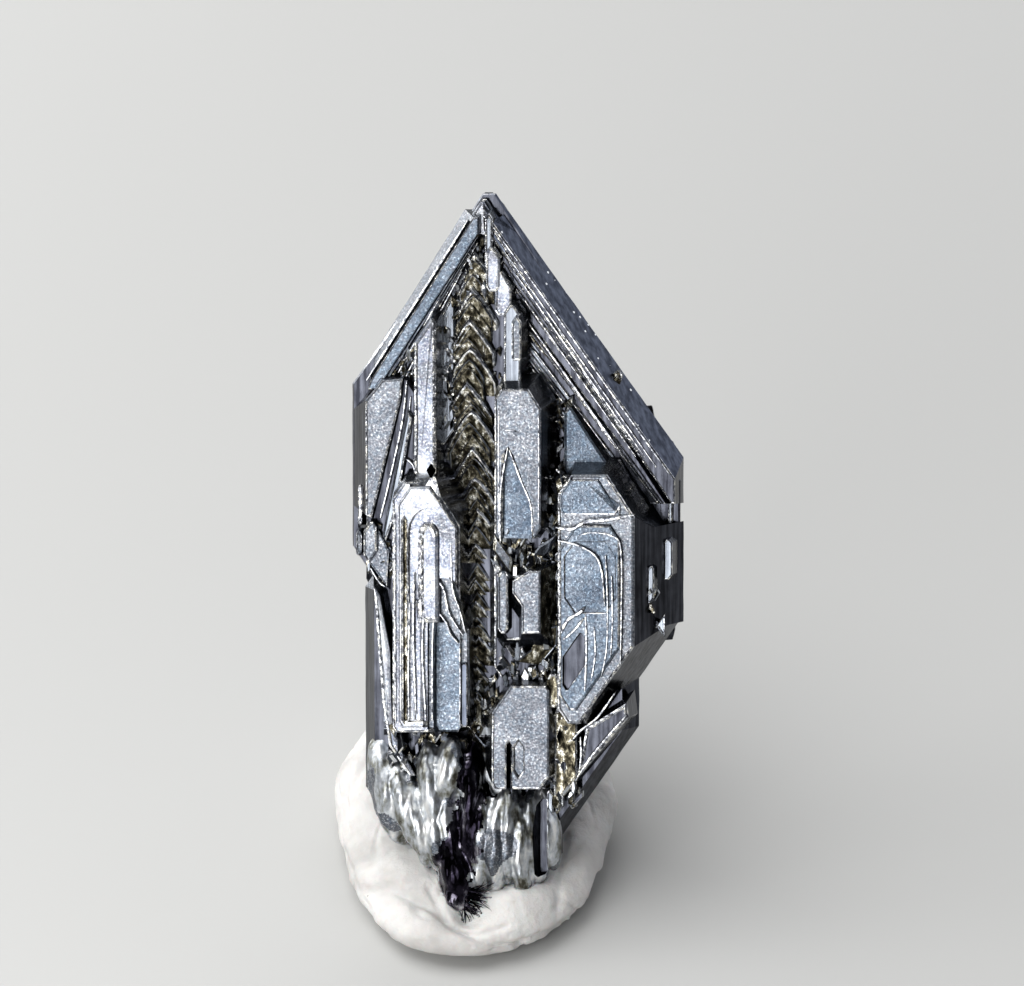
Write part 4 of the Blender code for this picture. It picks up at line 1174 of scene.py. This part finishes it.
# each front window: its outline, its level and its depth
window(hollows, arched(-2.12, -0.93, 4.95, 11.3), 2.44, 0.16, face=LIT_FROST)
window(hollows, arched(-1.56, -0.58, 4.72, 9.25), 2.36, 0.25)
window(hollows, cut_outline(-1.4, -0.62, 4.6, 8.3, (0.12, 0.6, 0.1, 0.1)), 2.2, 0.4, face=PANEL)
window(hollows, cut_outline(-2.28, -2.18, 4.95, 11.0, (0.05,) * 4), 2.42, 0.2, face=GOLDEN)
window(hollows, cut_outline(-1.6, -1.32, 12.2, 12.62, (0.12,) * 4), 1.8, 0.8, face=DARK)
slot = [(0.7, 12.85), (0.84, 13.05), (0.95, 12.85), (1.2, 12.15), (1.5, 11.35), (1.54, 10.2),
        (0.66, 10.2)]
edges = ["top_left", "top_right", "right", "right", "right", "bottom", "left"]
window(hollows, (slot, edges), 2.3, 0.22, lip=0.07, face=PANEL, wall=BRIGHT)
window(hollows, cut_outline(0.78, 0.92, 2.7, 4.35, (0.07, 0.07, 0.0, 0.0)), 2.2, 0.5, face=DARK)
window(hollows, cut_outline(1.0, 1.28, 3.3, 4.4, (0.14,) * 4), 2.2, 0.12)
window(hollows, cut_outline(1.5, 1.98, 0.15, 2.6, (0.15, 0.1, 0.1, 0.1)), 2.1, 1.1, face=DARK)
window(hollows, cut_outline(2.5, 4.0, 8.2, 10.3, (0.3,) * 4), 2.32, 0.1, face=PANEL)
window(hollows, cut_outline(2.45, 3.1, 5.9, 7.6, (0.5, 0.1, 0.5, 0.1)), 2.32, 0.2, face=DARK)
for sides, level, depth in REAR_WINDOWS:
    window(hollows, cut_outline(*sides), level, depth, face=PANEL, rear=True)

# %% Bars
tablet(standing, arched(-1.84, -1.2, 7.9, 10.9), 2.42, 0.5, lean=LEAN_LEFT, rim=0.2, face=LIT_FROST)
plate(standing, -1.98, -1.66, 4.95, 8.6, (0.1, 0.2, 0.05, 0.05), 2.38, 0.4, rim=0.1, face=LIT_FROST)
plate(standing, 2.0, 2.2, 0.75, 2.9, (0.05, 0.1, 0.1, 0.05), 1.25, 0.9, rim=0.06, face=GREY)
plate(standing, -0.56, -0.36, 4.8, 6.7, (0.05,) * 4, 2.2, 0.6, rim=0.04, face=SLATE)

# %% [markdown]
# ## Growth lines
#
# Fine raised lines cross the plates and follow the edges of the point faces: the crests of
# steps that were still moving when the crystal stopped. They could be a pattern in the
# bump, but a crest half as high as it is wide catches light on one side only, and that
# takes real height. So they are beads along a few points each. A list of points with a
# width is all that sets one apart from the next.

# %% Growth lines of the plates
LINE_FOOT = 0.3
BROAD_LINES = (
    # width, then points of the front view
    (0.13, (2.25, 10.75), (2.7, 10.7), (3.1, 10.9), (3.5, 10.95), (3.9, 11.0), (4.55, 11.12)),
    (0.05, (2.9, 10.5), (3.3, 10.6), (3.9, 10.5), (4.16, 10.1), (4.18, 8.2), (4.15, 6.7)),
    (0.07, (2.3, 10.35), (2.9, 10.2), (3.4, 9.9), (3.6, 9.4), (3.68, 8.4)),
    (0.05, (3.72, 9.9), (3.78, 8.6), (3.76, 7.2), (3.6, 6.3)),
    (0.08, (3.12, 8.2), (3.15, 7.0), (3.1, 5.9)),
    (0.12, (2.42, 7.6), (2.62, 8.0), (2.95, 8.2), (3.12, 8.38)),
    (0.09, (2.45, 7.4), (2.8, 7.7), (3.08, 8.05)),
    (0.05, (3.9, 9.3), (3.93, 8.0), (3.88, 6.9)),
    (0.06, (3.3, 6.2), (3.42, 7.0), (3.38, 7.8)),
)
SLAB_LINES = (
    (0.05, (-2.5, 4.9), (-2.51, 8.0), (-2.5, 11.2)),
    (0.05, (-2.36, 4.9), (-2.35, 7.0), (-2.36, 11.5)),
    (0.09, (-1.95, 9.4), (-1.98, 7.5), (-1.9, 5.2)),
    (0.08, (-1.66, 8.3), (-1.7, 7.0), (-1.6, 5.0)),
    (0.06, (-0.86, 10.3), (-0.82, 9.0), (-0.6, 8.3), (-0.42, 7.6)),
    (0.05, (-2.1, 5.0), (-2.12, 6.5), (-2.08, 8.5)),
)
SHOULDER_LINES = (
    (0.07, (-2.15, 15.1), (-2.3, 13.8), (-2.7, 12.0), (-2.95, 11.0)),
    (0.05, (-2.05, 14.6), (-2.2, 13.2), (-2.5, 11.8)),
    (0.08, (-3.25, 10.95), (-3.0, 10.6), (-2.72, 10.0)),
    (0.06, (-3.3, 9.6), (-3.0, 9.1), (-2.76, 8.95)),
    (0.06, (-2.25, 12.8), (-2.0, 12.6), (-1.9, 12.2)),
)
SLAB_EDGE_LINES = (
    (0.06, (0.62, 10.3), (0.63, 11.8), (0.84, 13.1)),
    (0.07, (0.88, 13.05), (1.22, 12.15), (1.52, 11.4), (1.56, 10.6)),
    (0.05, (0.56, 10.5), (0.55, 12.5), (0.56, 14.4)),
    (0.05, (0.7, 13.6), (0.9, 13.62), (1.1, 13.58)),
    (0.05, (1.74, 10.9), (1.75, 12.5), (1.74, 14.1)),
)
LEAF_LINES = (
    (0.1, (4.35, 5.15), (3.7, 4.4), (3.3, 3.9), (2.9, 3.3)),
    (0.09, (4.0, 5.8), (3.5, 5.1), (3.0, 4.7), (2.75, 4.4)),
    (0.07, (2.95, 3.5), (3.0, 4.0), (2.98, 4.5)),
)
ARCH_LINES = (
    (0.07, (-1.5, 7.9), (-1.46, 8.9), (-1.3, 9.16), (-1.06, 8.9), (-0.9, 8.2), (-0.5, 7.55)),
    (0.06, (-1.4, 5.0), (-1.38, 7.6), (-1.27, 8.2), (-1.0, 7.95), (-0.86, 7.6), (-0.62, 7.3)),
    (0.05, (-0.6, 7.2), (-0.58, 6.2), (-0.6, 5.0)),
)
# The beads wear the bright edge finish, a painted highlight over their real crests.
for lines, level in (
    (BROAD_LINES, 2.32), (SLAB_LINES, 2.42), (ARCH_LINES, 2.26), (SHOULDER_LINES, 1.15),
    (SLAB_EDGE_LINES, 2.3), (LEAF_LINES, 1.6),
):
    for width, *points in lines:
        bead(standing, points, (level, level), width, 0.5 * width, foot=LINE_FOOT)

# %% Growth lines of the point faces
LEFT_RIM_LINES = (
    # width, two points of the front view, then the levels at both ends
    (0.1, (0.0, 20.3), (-3.7, 15.06), 0.32, 0.32),
    (0.07, (-0.35, 19.8), (-3.35, 15.1), 1.04, 1.04),
    (0.05, (-0.25, 19.45), (-3.0, 15.0), 0.98, 0.98),
    (0.06, (-0.6, 18.6), (-2.6, 15.0), 0.9, 0.9),
    (0.05, (-0.55, 18.3), (-2.3, 15.05), 0.82, 0.82),
)
POINT_LINES = (
    (0.05, (0.75, 18.9), (5.2, 12.5), 1.03, 0.84),
    (0.045, (1.3, 17.5), (4.6, 12.8), 0.93, 0.78),
    (0.045, (1.5, 16.7), (4.1, 12.95), 0.8, 0.68),
    (0.045, (1.62, 15.95), (3.8, 12.95), 0.72, 0.6),
    (0.04, (1.5, 15.3), (3.2, 13.0), 0.56, 0.48),
    (0.05, (0.42, 19.6), (5.6, 12.25), 1.06, 0.84),
    (0.06, (1.1, 18.2), (4.9, 12.75), 0.97, 0.8),
    (0.07, (1.3, 17.0), (4.2, 12.9), 0.8, 0.7),
    (0.05, (1.65, 15.6), (3.5, 13.0), 0.6, 0.52),
)
for width, *points, high, low in LEFT_RIM_LINES + POINT_LINES:
    bead(standing, points, (high, low), width, 0.5 * width, foot=LINE_FOOT)

# %% [markdown]
# ## Shards
#
# Between the plates the crystal is rough: broken steps and slivers of a tenth of a
# millimetre, which flash in all directions. Placing each by hand would take all day, so a
# seeded generator scatters them inside named patches. Most are slivers that lie along the
# column, as everything else here does, with a flat top at their own slight tilt.

# %% Shards
SHARD_PATCHES = (
    # left, bottom, right, top, levels, how many, sizes
    (-1.25, 13.6, -0.62, 17.9, (0.5, 0.68), 170, (0.04, 0.09)),
    (-0.45, 17.4, 0.15, 19.6, (0.6, 0.9), 50, (0.04, 0.08)),
    (1.8, 10.3, 2.75, 12.4, (0.95, 1.7), 70, (0.07, 0.17)),
    (1.85, 7.2, 2.35, 10.4, (1.1, 1.7), 60, (0.06, 0.14)),
    (0.5, 9.35, 1.9, 10.5, (1.45, 2.05), 50, (0.08, 0.2)),
    (0.6, 6.1, 2.1, 7.4, (1.35, 1.85), 60, (0.06, 0.15)),
    (2.05, 5.3, 2.9, 7.2, (1.3, 1.9), 50, (0.05, 0.13)),
    (2.1, 2.4, 2.95, 5.6, (1.25, 1.6), 90, (0.05, 0.12)),
    (4.75, 7.9, 5.2, 9.8, (1.15, 1.6), 60, (0.04, 0.09)),
    (3.95, 14.85, 4.2, 15.3, (0.3, 0.5), 14, (0.05, 0.1)),
    (-2.9, 14.9, -1.95, 16.0, (0.75, 0.95), 40, (0.04, 0.09)),
    (-3.4, 9.0, -2.6, 10.8, (0.9, 1.2), 30, (0.04, 0.1)),
    (-2.9, 2.8, -0.3, 4.9, (1.1, 1.6), 70, (0.06, 0.15)),
    (-0.45, 4.6, 0.4, 6.2, (0.9, 1.2), 40, (0.05, 0.12)),
    (0.45, 14.9, 1.7, 16.3, (0.45, 0.7), 50, (0.04, 0.09)),
    (1.8, 12.5, 3.0, 14.4, (0.5, 0.9), 70, (0.04, 0.1)),
)
SHARD_TURNS = (0.0, 0.0, 0.0, 33.0, -35.0)  # degrees, from the column
SHARD_STRETCHES = (1.0, 1.6, 2.6, 3.6)
# how wide and how high the three rings of a shard are, as shares of its size
SHARD_SECTION = ((1.1, -1.3), (1.0, 0.0), (0.72, 0.22))
# Random finishes from these: the bright edge finish gives painted glints, and the dark and grey
# mirrors painted shade.
SHARD_FINISHES = (GOLDEN, GOLDEN, DARK, DARK, BRIGHT, GREY, GLASSY, FROSTED)


def shard(x, y, level, size):
    """A sliver of four or five sides at this point, with its own turn, length and tilt."""
    u, v = from_front_view(x, y, level)
    sides = growth.choice((4, 4, 5))
    start = growth.uniform(0.0, math.tau)
    stretch = growth.choice(SHARD_STRETCHES)
    turn = math.radians(growth.choice(SHARD_TURNS) + growth.uniform(-5.0, 5.0))
    lean_u, lean_v = growth.uniform(-0.5, 0.5), growth.uniform(-0.3, 0.3)
    rings = []
    for reach, rise in SHARD_SECTION:
        ring = []
        for side in range(sides):
            angle = start - math.tau * side / sides
            across = size * reach * math.cos(angle)
            along = size * reach * math.sin(angle) * stretch
            du = across * math.cos(turn) - along * math.sin(turn)
            dv = across * math.sin(turn) + along * math.cos(turn)
            ring.append((u + du, v + dv, level + size * rise + lean_u * du + lean_v * dv))
        rings.append(list(reversed(ring)))
    wall = [growth.choice(SHARD_FINISHES)] * sides
    nose = [growth.choice((BRIGHT, GOLDEN, GREY))] * sides
    loft(standing, rings, [wall, nose], (wall[0], growth.choice(SHARD_FINISHES)))


for left, bottom, right, top, levels, count, sizes in SHARD_PATCHES:
    for index in range(count):
        x, y = growth.uniform(left, right), growth.uniform(bottom, top)
        shard(x, y, growth.uniform(*levels), growth.uniform(*sizes))
print("shards:", sum(patch[5] for patch in SHARD_PATCHES))

# %% [markdown]
# ## Dark needles
#
# The purple-black lobe ends in a tuft of hair-fine needles that fan out over the putty.
# They could be curves with a round section, but those can't be joined to a solid. So each
# is a bent, tapering rod of three sides, 0.05 mm wide at its foot: coarser than the real
# ones, so that it still shows as a hair. It starts inside the lobe, comes out of its side
# or its end, and is joined to the crystal with the rest.

# %% Dark needles
NEEDLES = 210
NEEDLE_THICK = 0.024
NEEDLE_JOINTS = 8
NEEDLE_FAN = (-150.0, 20.0)  # degrees, from pointing right
TUFT_CENTRE, TUFT_LEVEL, TUFT_HALF_SIZE = (-0.62, -0.25), 1.45, (0.5, 0.85, 0.8)

for index in range(NEEDLES):
    around = math.radians(growth.uniform(*NEEDLE_FAN))
    reach = growth.uniform(0.45, 0.85)
    x = TUFT_CENTRE[0] + TUFT_HALF_SIZE[0] * reach * math.cos(around)
    y = TUFT_CENTRE[1] + TUFT_HALF_SIZE[1] * reach * math.sin(around)
    level = TUFT_LEVEL + TUFT_HALF_SIZE[2] * 0.85 * math.sqrt(1.0 - reach * reach)
    place = Vector((*from_front_view(x, y, level), level))
    heading = around + math.radians(growth.uniform(-28.0, 28.0))
    step = growth.uniform(0.05, 0.12)
    bend = math.radians(growth.uniform(-7.0, 7.0))
    climb = growth.uniform(0.0, 0.45)
    rings = []
    for joint in range(NEEDLE_JOINTS):
        thick = NEEDLE_THICK * (1.0 - joint / (NEEDLE_JOINTS + 0.2))
        side = Vector((-math.sin(heading), math.cos(heading), 0.0)) * thick
        over = Vector((0.0, 0.0, thick))
        rings.append([tuple(place + side), tuple(place + over), tuple(place - side)])
        place = place + Vector((math.cos(heading), math.sin(heading), climb)) * step
        heading += bend
    loft(standing, rings, [[MURKY] * 3] * (NEEDLE_JOINTS - 1), (MURKY, MURKY))
print("needles:", NEEDLES)

# %% [markdown]
# ## Joining the crystal
#
# All these solids are one crystal. Left apart they would look joined, but the slivers of
# faces inside would spoil the mesh. So they are joined by one Boolean a group: a union of
# what grew, a cut of the windows, a union of what stands, and a cut of what lies outside
# (behind the slanting rear face of the point, and below the broken base under the putty's
# top). The MANIFOLD solver joins hundreds of closed solids in about a second. The joined
# piece is then turned from the crystal's frame to the world, and from mm to metres.

# %% Joining the crystal
REAR_FACE_FROM_AXIS = math.radians(33.1)
REAR_FACE_START = -0.17
BROKEN_BASE = 0.62
OUTSIDE_BLOCK = 30.0
TIP_ACROSS, TIP_OFF = 0.3, 0.08


def block_under(place):
    """A block with its top face in the plane z = 0 of place."""
    down = Matrix.Translation((0.0, 0.0, -OUTSIDE_BLOCK / 2))
    mesh = bmesh.new()
    bmesh.ops.create_cube(mesh, size=OUTSIDE_BLOCK, matrix=place @ down)
    for face in mesh.faces:
        face.material_index = FROSTED
    keep_solid(away, mesh)


def join(obj, operation, group):
    """Adds the Boolean that joins all of a group to an object, or cuts it from it."""
    modifier = obj.modifiers.new(group.name, "BOOLEAN")
    modifier.operation = operation
    modifier.operand_type = "COLLECTION"
    modifier.collection = group
    modifier.solver = "MANIFOLD"


def shells(mesh):
    """The mesh's faces, grouped into the closed shells that they make, largest last."""
    left = set(mesh.faces)
    found = []
    while left:
        reached = [left.pop()]
        for face in reached:
            around = {other for edge in face.edges for other in edge.link_faces} & left
            left -= around
            reached.extend(around)
        found.append(reached)
    return sorted(found, key=len)


def finished_mesh(obj, name):
    """The mesh of an object with its modifiers applied, without loose specks."""
    graph = bpy.context.evaluated_depsgraph_get()
    data = bpy.data.meshes.new_from_object(obj.evaluated_get(graph))
    mesh = bmesh.new()
    mesh.from_mesh(data)
    for specks in shells(mesh)[:-1]:
        bmesh.ops.delete(mesh, geom=specks, context="FACES")
    mesh.to_mesh(data)
    mesh.free()
    data.name = name
    return data


u, v = from_front_view(TIP_ACROSS, TIP_TOP, GIRDLE)
tilt = Matrix.Rotation(REAR_FACE_FROM_AXIS, 4, "X")
block_under(Matrix.Translation((u, v - TIP_OFF, REAR_FACE_START)) @ tilt)
ground = Matrix.Translation((0.0, 0.0, BROKEN_BASE))
block_under(crystal_frame().inverted() @ ground)

# %% One crystal
join(main_body, "UNION", grown)
join(main_body, "DIFFERENCE", hollows)
join(main_body, "UNION", standing)
join(main_body, "DIFFERENCE", away)
tellurium = finished_mesh(main_body, "tellurium")
for group in (grown, hollows, standing, away):
    for solid in list(group.objects):
        bpy.data.objects.remove(solid)
    bpy.data.collections.remove(group)
bpy.data.objects.remove(main_body)
tellurium.transform(Matrix.Scale(MM, 4) @ crystal_frame())
crystal = in_scene("tellurium_crystal_grown", tellurium)
print("crystal:", len(crystal.data.polygons), "faces")
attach(crystal, "root")
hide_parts("tellurium_crystal")

# %% [markdown]
# ## The putty
#
# Mounting putty is a soft, matt, off-white dough. This pinch was pressed into a thick ring
# round the crystal's root: a rounded rim a little above the table, a top that rises towards
# the back, folds where the fingers pushed it together, and a lip where it wells up in front
# of the crystal. It could be sculpted by hand, but a sculpt can't be read or changed as
# text. Here it is a grid of rings, wrapped over a few heights. Each fold is a dent along a
# line, each swell a bump round a point, and the crystal's room is cut out at the end.
# Below half a millimetre the skin is moved less and less, so that the foot stays flat.

# %% The putty's outline
PUTTY_CENTRE = (putty_low + putty_high) / (2 * MM)
PUTTY_HALF_WIDTH, PUTTY_HALF_DEPTH = (putty_high - putty_low).xy / (2 * MM)
PUTTY_FILL = 0.975


def putty_reach(angle):
    """How far the lump reaches from its centre in this direction, where it is widest."""
    across = math.cos(angle) / PUTTY_HALF_WIDTH
    deep = math.sin(angle) / PUTTY_HALF_DEPTH
    waves = 0.014 * math.sin(3.0 * angle + 0.6) + 0.01 * math.sin(5.0 * angle)
    waves += 0.012 * noise.noise((3.0 * math.cos(angle), 3.0 * math.sin(angle), 4.0))
    return (PUTTY_FILL + waves) / math.hypot(across, deep)


print("putty reaches to the right and to the back, mm:",
      [round(putty_reach(angle), 2) for angle in (0.0, math.pi / 2)])

# %% Folds, swells and dents
FOLD_DEPTH = 0.055
CREASES = (
    # depth, width, then points of the front view
    (0.16, 0.13, (-3.4, -0.1), (-2.6, -0.1), (-1.6, -0.5), (-0.6, -1.2), (0.4, -1.75), (1.2, -1.7)),
    (0.12, 0.1, (1.2, -1.7), (2.2, -1.3), (3.2, -0.6), (3.6, 0.3)),
    (0.1, 0.1, (-1.5, -0.1), (-0.9, -1.15), (0.0, -1.35), (0.8, -1.1)),
    (0.1, 0.12, (2.3, -0.6), (2.4, 0.4), (2.55, 1.4)),
    (0.07, 0.1, (-4.1, 1.0), (-3.7, 0.0), (-3.2, -0.9)),
    (0.06, 0.08, (-3.9, 3.4), (-4.1, 2.6), (-4.0, 1.6)),
)
SWELLS = (
    # height, X, Y, half width, half height
    (0.36, 1.2, -0.35, 1.0, 0.4),
    (0.2, -2.4, 0.2, 0.9, 0.45),
    (0.22, -1.6, -1.5, 1.5, 0.5),
    (0.16, 3.1, 1.6, 0.6, 1.2),
    (0.14, -3.6, 3.0, 0.5, 1.2),
    (-0.5, -0.35, -0.75, 0.5, 0.45),
)


def pressed(place):
    """How far the fingers pushed the putty out (or in, below 0) at a point of its skin."""
    # seen is the same point in the front view, where the creases and swells are drawn
    seen = Vector((place.x - AXIS_FOOT.x, (place - AXIS_FOOT).dot(FRONT_VIEW_UP)))
    push = 0.1 * noise.noise(place * 0.6) + 0.05 * noise.noise(place * 1.7) - 0.02
    push += 0.018 * noise.noise(place * 5.0)
    push -= FOLD_DEPTH * bell(noise.noise(place * 0.55 + Vector((7.0, 0.0, 0.0))), 0.0, 0.04)
    for height, x, y, half_width, half_height in SWELLS:
        push += height * bell(seen.x, x, half_width) * bell(seen.y, y, half_height)
    for depth, width, *line in CREASES:
        push -= depth * bell(distance_to(line, seen), 0.0, width)
    torn = bell(place.z, 0.5, 0.35) * bell(place.x, 2.0, 2.0)
    return push + 0.09 * torn * noise.noise(place * Vector((6.0, 6.0, 2.0)))


print("creases:", len(CREASES), "swells:", len(SWELLS))

# %% Pressing the putty
# how far inside the outline each ring lies, and how high
PUTTY_RINGS = ((2.6, 0.0), (1.3, 0.02), (0.62, 0.14), (0.2, 0.42), (0.0, 0.85), (0.12, 1.25),
               (0.5, 1.6), (1.1, 1.85), (1.9, 2.03), (3.0, 2.15), (4.0, 2.2))
PUTTY_SIDES = 320
PUTTY_STEPS = 10
PUTTY_FRONT_HEIGHT, PUTTY_BACK_RISE = 0.78, 0.56
STILL_BELOW = 0.5

dough = bmesh.new()
rows = []
for inset, height in curve_through(PUTTY_RINGS, PUTTY_STEPS):
    row = []
    for side in range(PUTTY_SIDES):
        angle = -2.0 * math.pi * side / PUTTY_SIDES
        back = 0.5 + 0.5 * math.sin(angle)
        reach = putty_reach(angle) - inset
        x = PUTTY_CENTRE.x + reach * math.cos(angle)
        y = PUTTY_CENTRE.y + reach * math.sin(angle)
        row.append(dough.verts.new((x, y, height * (PUTTY_FRONT_HEIGHT + PUTTY_BACK_RISE * back))))
    rows.append(row)
dough.faces.new(rows[0])
dough.faces.new(list(reversed(rows[-1])))
for lower, upper in zip(rows, rows[1:]):
    for side in range(PUTTY_SIDES):
        after = (side + 1) % PUTTY_SIDES
        dough.faces.new((lower[side], lower[after], upper[after], upper[side]))
bmesh.ops.recalc_face_normals(dough, faces=dough.faces)
dough.normal_update()
moved = [corner.normal * pressed(corner.co) * min(1.0, corner.co.z / STILL_BELOW)
         for corner in dough.verts]
for corner, move in zip(dough.verts, moved):
    corner.co += move
for face in dough.faces:
    face.smooth = True
print("the fingers moved the skin by up to", round(max(m.length for m in moved), 2), "mm")

# %% Room for the crystal
bmesh.ops.scale(dough, vec=(MM, MM, MM), verts=dough.verts)
data = bpy.data.meshes.new("putty")
dough.to_mesh(data)
dough.free()
putty = in_scene("putty_pressed", data)
room = putty.modifiers.new("Room", "BOOLEAN")
room.object = crystal
room.solver = "MANIFOLD"
putty.data = finished_mesh(putty, "putty")
putty.modifiers.clear()
print("putty:", len(putty.data.polygons), "faces")

# %% [markdown]
# ## Putty finish
#
# The material is mounting putty, a dough of chalk and rubber, pressed by hand. It scatters
# light a little below its surface and has no gloss. Fingers leave it smooth in places and
# finely wrinkled in others, with faint grey smudges and a few specks of dirt. A sculpted
# wrinkle would take a far finer mesh, so the wrinkles, about 0.15 mm wide, are a bump.

# %% Putty finish
SMUDGES_PER_MM = 0.6
WRINKLES_PER_MM = 6.0
SPECKS_PER_MM = 1.4
SPECK_REACH = 0.045
PUTTY_SHADES = ((0.36, "#BDBBB8"), (0.5, "#CECCC9"), (0.66, "#DBD9D6"))
SPECK_COLOUR = "#8B8884"


def mounting_putty():
    made, tree, shader = new_material("mounting_putty")
    mm = in_millimetres(tree)
    smudge = add_node(tree, "ShaderNodeTexNoise", {"Vector": mm, "Scale": SMUDGES_PER_MM,
                                                 "Detail": 5.0})
    colour = add_node(tree, "ShaderNodeValToRGB", {0: smudge}, PUTTY_SHADES)
    cells = add_node(tree, "ShaderNodeTexVoronoi", {"Vector": mm, "Scale": SPECKS_PER_MM})
    speck = add_node(tree, "ShaderNodeMath", {0: cells, 1: SPECK_REACH},
                     operation="LESS_THAN")
    specked = add_node(tree, "ShaderNodeMix", {0: speck, 6: colour, 7: linear(SPECK_COLOUR)},
                       data_type="RGBA")
    wrinkle = add_node(tree, "ShaderNodeTexNoise",
                       {"Vector": mm, "Scale": WRINKLES_PER_MM, "Detail": 7.0, "Roughness": 0.65})
    bump = add_node(tree, "ShaderNodeBump",
                    {"Strength": 0.5, "Distance": 0.1 * MM, "Height": wrinkle})
    set_inputs(shader, {"Base Color": specked.outputs[2], "Normal": bump, "Roughness": 0.7,
                        "Subsurface Weight": 0.12, "Subsurface Scale": 0.5 * MM})
    return made


putty.data.materials.clear()
putty.data.materials.append(mounting_putty())
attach(putty, "root")
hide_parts("putty_base")
print("putty wears:", putty.data.materials[0].name)

# %% [markdown]
# ## Floor, light and camera
#
# A plain pale floor of matt paint and soft light, as on a product table. A ring of equal
# lamps would be simpler, but metal shows only what it mirrors. So the lights are placed by
# where each set of faces looks: the front faces look low to the left of the lens, and a
# soft box stands there. The lens is long and far away, which keeps the crystal's uprights
# parallel.

# %% Floor and light
LIGHTS = (
    # name, direction, distance, size (metres), power (watts), colour
    ("front_left_box", (-0.44, -0.86, 0.25), 0.055, (0.035, 0.03), 0.0188, "#FFFFFF"),
    ("top_box", (-0.35, 0.1, 1.0), 0.2, (0.2, 0.2), 0.45, "#FFFFFF"),
    ("left_box", (-1.0, 0.1, 0.35), 0.1, (0.03, 0.08), 0.03, "#FFFFFF"),
    ("right_back_box", (0.85, 0.47, 0.26), 0.12, (0.1, 0.06), 0.025, "#DDE1EC"),
    ("left_back_box", (-0.6, 0.78, 0.1), 0.11, (0.08, 0.04), 0.04, "#FFFFFF"),
    ("back_box", (0.2, 1.0, 0.55), 0.25, (0.2, 0.1), 0.2, "#FFFFFF"),
)
FLOOR_HALF_SIZE = 1.5


def pale_floor():
    mesh = bmesh.new()
    bmesh.ops.create_grid(mesh, x_segments=1, y_segments=1, size=FLOOR_HALF_SIZE)
    data = bpy.data.meshes.new("floor")
    mesh.to_mesh(data)
    mesh.free()
    made = in_scene("floor", data)
    finish, tree, shader = new_material("pale_floor")
    set_inputs(shader, {"Base Color": linear("#B8B8B6"), "Roughness": 0.65})
    data.materials.append(finish)


def soft_box(name, direction, distance, size, power, colour):
    """An area light in this direction from the crystal, facing it."""
    centre = (cad_box[0] + cad_box[1]) / 2
    light = bpy.data.lights.new(name, "AREA")
    light.shape = "RECTANGLE"
    light.size, light.size_y = size
    light.energy = power
    light.color = linear(colour)[:3]
    made = in_scene(name, light)
    back = Vector(direction).normalized()
    made.location = centre + back * distance
    made.rotation_euler = back.to_track_quat("Z", "Y").to_euler()
    made.visible_camera = False


pale_floor()
for light_row in LIGHTS:
    soft_box(*light_row)
world = bpy.data.worlds.new("studio")
world.use_nodes = True
set_inputs(world.node_tree.nodes["Background"], {"Color": linear("#8A8C90"), "Strength": 0.4})
bpy.context.scene.world = world
bpy.context.scene.view_settings.view_transform = "Standard"
print("lights:", len(bpy.data.lights))

# %% Camera
FRAME_WIDTH = 30.72
FRAME_CENTRE = (0.96, 11.76)
CAMERA_DISTANCE = 300.0
SENSOR = 36.0

lens = bpy.data.cameras.new("camera")
lens.sensor_width = SENSOR
lens.lens = SENSOR * CAMERA_DISTANCE / FRAME_WIDTH
lens.clip_start = 0.01
lens.clip_end = 10.0
camera = in_scene("camera", lens)
back = Vector((0.0, -math.cos(FRONT_VIEW_RISE), math.sin(FRONT_VIEW_RISE)))
centre = AXIS_FOOT + Vector((FRAME_CENTRE[0], 0.0, 0.0)) + FRONT_VIEW_UP * FRAME_CENTRE[1]
camera.location = (centre + back * CAMERA_DISTANCE) * MM
camera.rotation_euler = (math.pi / 2 - FRONT_VIEW_RISE, 0.0, 0.0)
bpy.context.scene.camera = camera
print("lens:", round(lens.lens), "mm")
